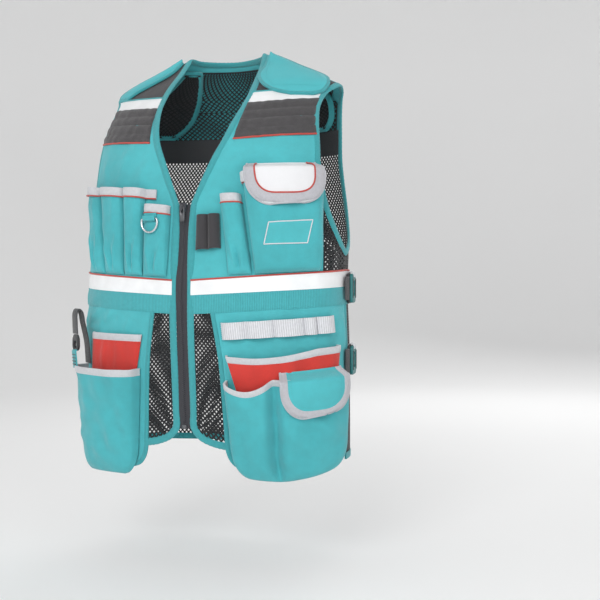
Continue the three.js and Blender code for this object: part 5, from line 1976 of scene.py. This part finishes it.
def make_floor():
    """A pale floor that curves up all round."""
    radius, cove, wall = 4.2, 1.6, 1.2
    profile = [(0.0, 0.0), (radius - cove, 0.0)]
    for turn in np.linspace(0, math.pi / 2, 14)[1:]:
        profile.append((radius - cove + cove * math.sin(turn), cove - cove * math.cos(turn)))
    profile.append((radius, cove + wall))
    around = 96
    points = [(0, 0, FLOOR)]
    for distance, height in profile[1:]:
        for k in range(around):
            turn = 2 * math.pi * k / around
            points.append((distance * math.cos(turn), distance * math.sin(turn), FLOOR + height))
    faces = [[0, 1 + k, 1 + (k + 1) % around] for k in range(around)]
    for ring in range(len(profile) - 2):
        base = 1 + ring * around
        for k in range(around):
            n = (k + 1) % around
            faces.append([base + k, base + around + k, base + around + n, base + n])
    mesh = bpy.data.meshes.new("floor")
    mesh.from_pydata(points, [], faces)
    mesh.shade_smooth()
    finish = Finish("pale_floor", **{"Specular IOR Level": 0.2, "Roughness": 0.9})
    broad = finish.noise(1.2, 2.0)
    finish.surface(finish.mix(broad, (0.93, 0.93, 0.93, 1), (0.95, 0.95, 0.95, 1)))
    mesh.materials.append(finish.material)
    floor = bpy.data.objects.new("floor", mesh)
    bpy.context.collection.objects.link(floor)


LIGHTS = (
    ("key", (0.2, -2.7, 0.75), 1.6, 36.0),
    ("fill", (2.3, -1.6, 0.3), 2.2, 14.0),
    ("top", (0.0, 0.2, 2.4), 2.4, 6.0),
    ("back", (0.4, 2.4, 0.9), 2.2, 22.0),
    ("side", (-2.4, -0.4, 0.2), 1.8, 4.0),
)


def make_lights():
    for name, place, size, power in LIGHTS:
        data = bpy.data.lights.new(name, "AREA")
        data.shape = "DISK"
        data.size = size
        data.energy = power
        light = bpy.data.objects.new(name, data)
        light.location = place
        light.rotation_euler = (Vector((0, 0, -0.33)) - Vector(place)).to_track_quat("-Z", "Y").to_euler()
        bpy.context.collection.objects.link(light)
    world = bpy.data.worlds.new("studio")
    world.use_nodes = True
    background = world.node_tree.nodes["Background"]
    background.inputs["Color"].default_value = (1, 1, 1, 1)
    background.inputs["Strength"].default_value = bpy.context.scene.vest_sizes.world_light
    bpy.context.scene.world = world


def make_stage():
    make_camera()
    make_lights()
    make_floor()


def make_camera():
    turn = math.radians(CAMERA["azimuth"])
    data = bpy.data.cameras.new("photo_camera")
    data.sensor_width = 36
    data.lens = CAMERA["focal_px"] * 36 / IMAGE
    camera = bpy.data.objects.new("photo_camera", data)
    x, y = CAMERA["distance"] * math.sin(turn), -CAMERA["distance"] * math.cos(turn)
    camera.location = (x, y, CAMERA["eye"])
    forward = Vector((-math.sin(turn), math.cos(turn), 0))
    right = Vector((math.cos(turn), math.sin(turn), 0))
    up = Vector((0, 0, 1))
    off_x = (IMAGE / 2 - CAMERA["centre_px"][0]) / CAMERA["focal_px"]
    off_y = (CAMERA["centre_px"][1] - IMAGE / 2) / CAMERA["focal_px"]
    aim = (forward + right * off_x + up * off_y).normalized()
    camera.rotation_euler = aim.to_track_quat("-Z", "Y").to_euler()
    bpy.context.collection.objects.link(camera)
    bpy.context.scene.camera = camera
    bpy.context.scene.view_settings.view_transform = "Standard"


# The add-on's properties, operators and panel


def colour_property(name, description, value):
    return FloatVectorProperty(
        name=name, description=description, default=value, size=3, min=0, max=1, subtype="COLOR"
    )


class VestColours(bpy.types.PropertyGroup):
    """Colours of the vest's cloth and trim."""

    teal: colour_property("Teal", "Cloth of the panels", (0.078, 0.455, 0.495))
    pocket_teal: colour_property("Pocket Teal", "Cloth of the pockets", (0.068, 0.42, 0.46))
    binding: colour_property("Binding", "Strips over the edges", (0.060, 0.40, 0.435))
    thread: colour_property("Thread", "Sewing thread", (0.08, 0.40, 0.43))
    red: colour_property("Red", "Red pocket cloth", (0.60, 0.045, 0.035))
    piping: colour_property("Piping", "Thin red lines", (0.52, 0.075, 0.06))
    pale: colour_property("Pale Grey", "Cloth of the chest flap", (0.74, 0.745, 0.76))
    pale_binding: colour_property("Pale Binding", "Pale strips and webbing", (0.68, 0.69, 0.72))
    border: colour_property("Border", "Borders of the flaps", (0.57, 0.57, 0.61))
    tape: colour_property("Tape", "Reflective tape", (0.86, 0.87, 0.88))
    dark: colour_property("Dark", "Dark face cloth", (0.05, 0.048, 0.052))
    pad: colour_property("Pad", "Ribbed chest pads", (0.06, 0.057, 0.06))
    net: colour_property("Net", "Thread of the mesh cloth", (0.018, 0.019, 0.021))
    webbing: colour_property("Webbing", "Dark straps", (0.065, 0.067, 0.072))
    zip_dark: colour_property("Zip", "Zip tape and teeth", (0.055, 0.055, 0.065))
    buckle: colour_property("Buckle", "Moulded buckles", (0.02, 0.16, 0.165))


class VestSizes(bpy.types.PropertyGroup):
    """Sizes that a user may change."""

    world_light: FloatProperty(
        name="World Light", description="Strength of the even light", default=0.46, min=0
    )


class VEST_OT_finishes(bpy.types.Operator):
    """Makes the cloth, mesh, webbing, metal and plastic finishes."""

    bl_idname = "vest.finishes"
    bl_label = "Mix Finishes"
    bl_options = {"REGISTER", "UNDO"}

    def execute(self, context):
        make_finishes(context.scene.vest_colours)
        return {"FINISHED"}


class VEST_OT_fronts(bpy.types.Operator):
    """Makes the front panels, yokes, chest tape, chest pads and side mesh."""

    bl_idname = "vest.fronts"
    bl_label = "Make Fronts"
    bl_options = {"REGISTER", "UNDO"}

    def execute(self, context):
        make_fronts()
        return {"FINISHED"}


class VEST_OT_waist(bpy.types.Operator):
    """Makes the reflective waist tape and the waistband."""

    bl_idname = "vest.waist"
    bl_label = "Make Waist"
    bl_options = {"REGISTER", "UNDO"}

    def execute(self, context):
        make_waist()
        return {"FINISHED"}


class VEST_OT_back(bpy.types.Operator):
    """Makes the back yoke, its linings and the back mesh."""

    bl_idname = "vest.back"
    bl_label = "Make Back"
    bl_options = {"REGISTER", "UNDO"}

    def execute(self, context):
        make_back()
        return {"FINISHED"}


class VEST_OT_skirts(bpy.types.Operator):
    """Makes the mesh skirts and the hip panels."""

    bl_idname = "vest.skirts"
    bl_label = "Make Skirts"
    bl_options = {"REGISTER", "UNDO"}

    def execute(self, context):
        make_skirts()
        return {"FINISHED"}


class VEST_OT_bindings(bpy.types.Operator):
    """Makes the strips over the neck, arm, front and hem edges."""

    bl_idname = "vest.bindings"
    bl_label = "Make Bindings"
    bl_options = {"REGISTER", "UNDO"}

    def execute(self, context):
        make_bindings()
        return {"FINISHED"}


class VEST_OT_shoulders(bpy.types.Operator):
    """Makes the shoulder pads and the pads inside the back."""

    bl_idname = "vest.shoulders"
    bl_label = "Make Shoulders"
    bl_options = {"REGISTER", "UNDO"}

    def execute(self, context):
        make_shoulders()
        return {"FINISHED"}


class VEST_OT_pens(bpy.types.Operator):
    """Makes the five pen pockets and their pale bands."""

    bl_idname = "vest.pens"
    bl_label = "Make Pen Pockets"
    bl_options = {"REGISTER", "UNDO"}

    def execute(self, context):
        make_pens()
        return {"FINISHED"}


class VEST_OT_meter(bpy.types.Operator):
    """Makes the large chest pocket and its flap."""

    bl_idname = "vest.meter"
    bl_label = "Make Chest Pocket"
    bl_options = {"REGISTER", "UNDO"}

    def execute(self, context):
        make_meter()
        return {"FINISHED"}


class VEST_OT_loops(bpy.types.Operator):
    """Makes the tool loop and the hip loops."""

    bl_idname = "vest.loops"
    bl_label = "Make Loops"
    bl_options = {"REGISTER", "UNDO"}

    def execute(self, context):
        make_loops()
        return {"FINISHED"}


class VEST_OT_hip_pockets(bpy.types.Operator):
    """Makes the red pocket, the hip pouch and its flap."""

    bl_idname = "vest.hip_pockets"
    bl_label = "Make Hip Pockets"
    bl_options = {"REGISTER", "UNDO"}

    def execute(self, context):
        make_hip_pockets()
        return {"FINISHED"}


class VEST_OT_holster(bpy.types.Operator):
    """Makes the holster and the red pocket behind it."""

    bl_idname = "vest.holster"
    bl_label = "Make Holster"
    bl_options = {"REGISTER", "UNDO"}

    def execute(self, context):
        make_holster()
        return {"FINISHED"}


class VEST_OT_zip(bpy.types.Operator):
    """Makes the zip, its teeth, slider and pull."""

    bl_idname = "vest.zip"
    bl_label = "Make Zip"
    bl_options = {"REGISTER", "UNDO"}

    def execute(self, context):
        make_zip()
        return {"FINISHED"}


class VEST_OT_ring(bpy.types.Operator):
    """Makes the D ring and its tab."""

    bl_idname = "vest.ring"
    bl_label = "Make Ring"
    bl_options = {"REGISTER", "UNDO"}

    def execute(self, context):
        make_ring()
        return {"FINISHED"}


class VEST_OT_retention(bpy.types.Operator):
    """Makes the strap, clip and tab over the holster."""

    bl_idname = "vest.retention"
    bl_label = "Make Retention Strap"
    bl_options = {"REGISTER", "UNDO"}

    def execute(self, context):
        make_retention()
        return {"FINISHED"}


class VEST_OT_buckles(bpy.types.Operator):
    """Makes the side buckles and their webbing."""

    bl_idname = "vest.buckles"
    bl_label = "Make Buckles"
    bl_options = {"REGISTER", "UNDO"}

    def execute(self, context):
        make_buckles()
        return {"FINISHED"}


class VEST_OT_sewing(bpy.types.Operator):
    """Makes the rows of thread along the seams."""

    bl_idname = "vest.sewing"
    bl_label = "Make Stitches"
    bl_options = {"REGISTER", "UNDO"}

    def execute(self, context):
        make_sewing()
        return {"FINISHED"}


class VEST_OT_stage(bpy.types.Operator):
    """Makes the floor, the lights and the camera."""

    bl_idname = "vest.stage"
    bl_label = "Make Stage"
    bl_options = {"REGISTER", "UNDO"}

    def execute(self, context):
        make_stage()
        return {"FINISHED"}


STEPS = (
    VEST_OT_finishes,
    VEST_OT_fronts,
    VEST_OT_waist,
    VEST_OT_back,
    VEST_OT_skirts,
    VEST_OT_bindings,
    VEST_OT_shoulders,
    VEST_OT_pens,
    VEST_OT_meter,
    VEST_OT_loops,
    VEST_OT_hip_pockets,
    VEST_OT_holster,
    VEST_OT_zip,
    VEST_OT_ring,
    VEST_OT_retention,
    VEST_OT_buckles,
    VEST_OT_sewing,
    VEST_OT_stage,
)


class VEST_PT_panel(bpy.types.Panel):
    """The vest's steps and values in the sidebar."""

    bl_label = "Utility Work Vest"
    bl_idname = "VEST_PT_panel"
    bl_space_type = "VIEW_3D"
    bl_region_type = "UI"
    bl_category = "Vest"

    def draw(self, context):
        for group in (context.scene.vest_colours, context.scene.vest_sizes):
            for name in type(group).__annotations__:
                self.layout.prop(group, name)
        for step in STEPS:
            self.layout.operator(step.bl_idname)


CLASSES = (VestColours, VestSizes, *STEPS, VEST_PT_panel)


def register():
    for cls in CLASSES:
        bpy.utils.register_class(cls)
    bpy.types.Scene.vest_colours = PointerProperty(type=VestColours)
    bpy.types.Scene.vest_sizes = PointerProperty(type=VestSizes)


def unregister():
    del bpy.types.Scene.vest_sizes
    del bpy.types.Scene.vest_colours
    for cls in reversed(CLASSES):
        bpy.utils.unregister_class(cls)


def main():
    register()
    SEWING.update(thread=Stitches(), pale_thread=Stitches())
    for step in STEPS:
        operator = getattr(bpy.ops.vest, step.bl_idname.split(".")[1])
        if operator() != {"FINISHED"}:
            raise RuntimeError(step.bl_label + " did not finish")


if __name__ == "__main__":
    main()
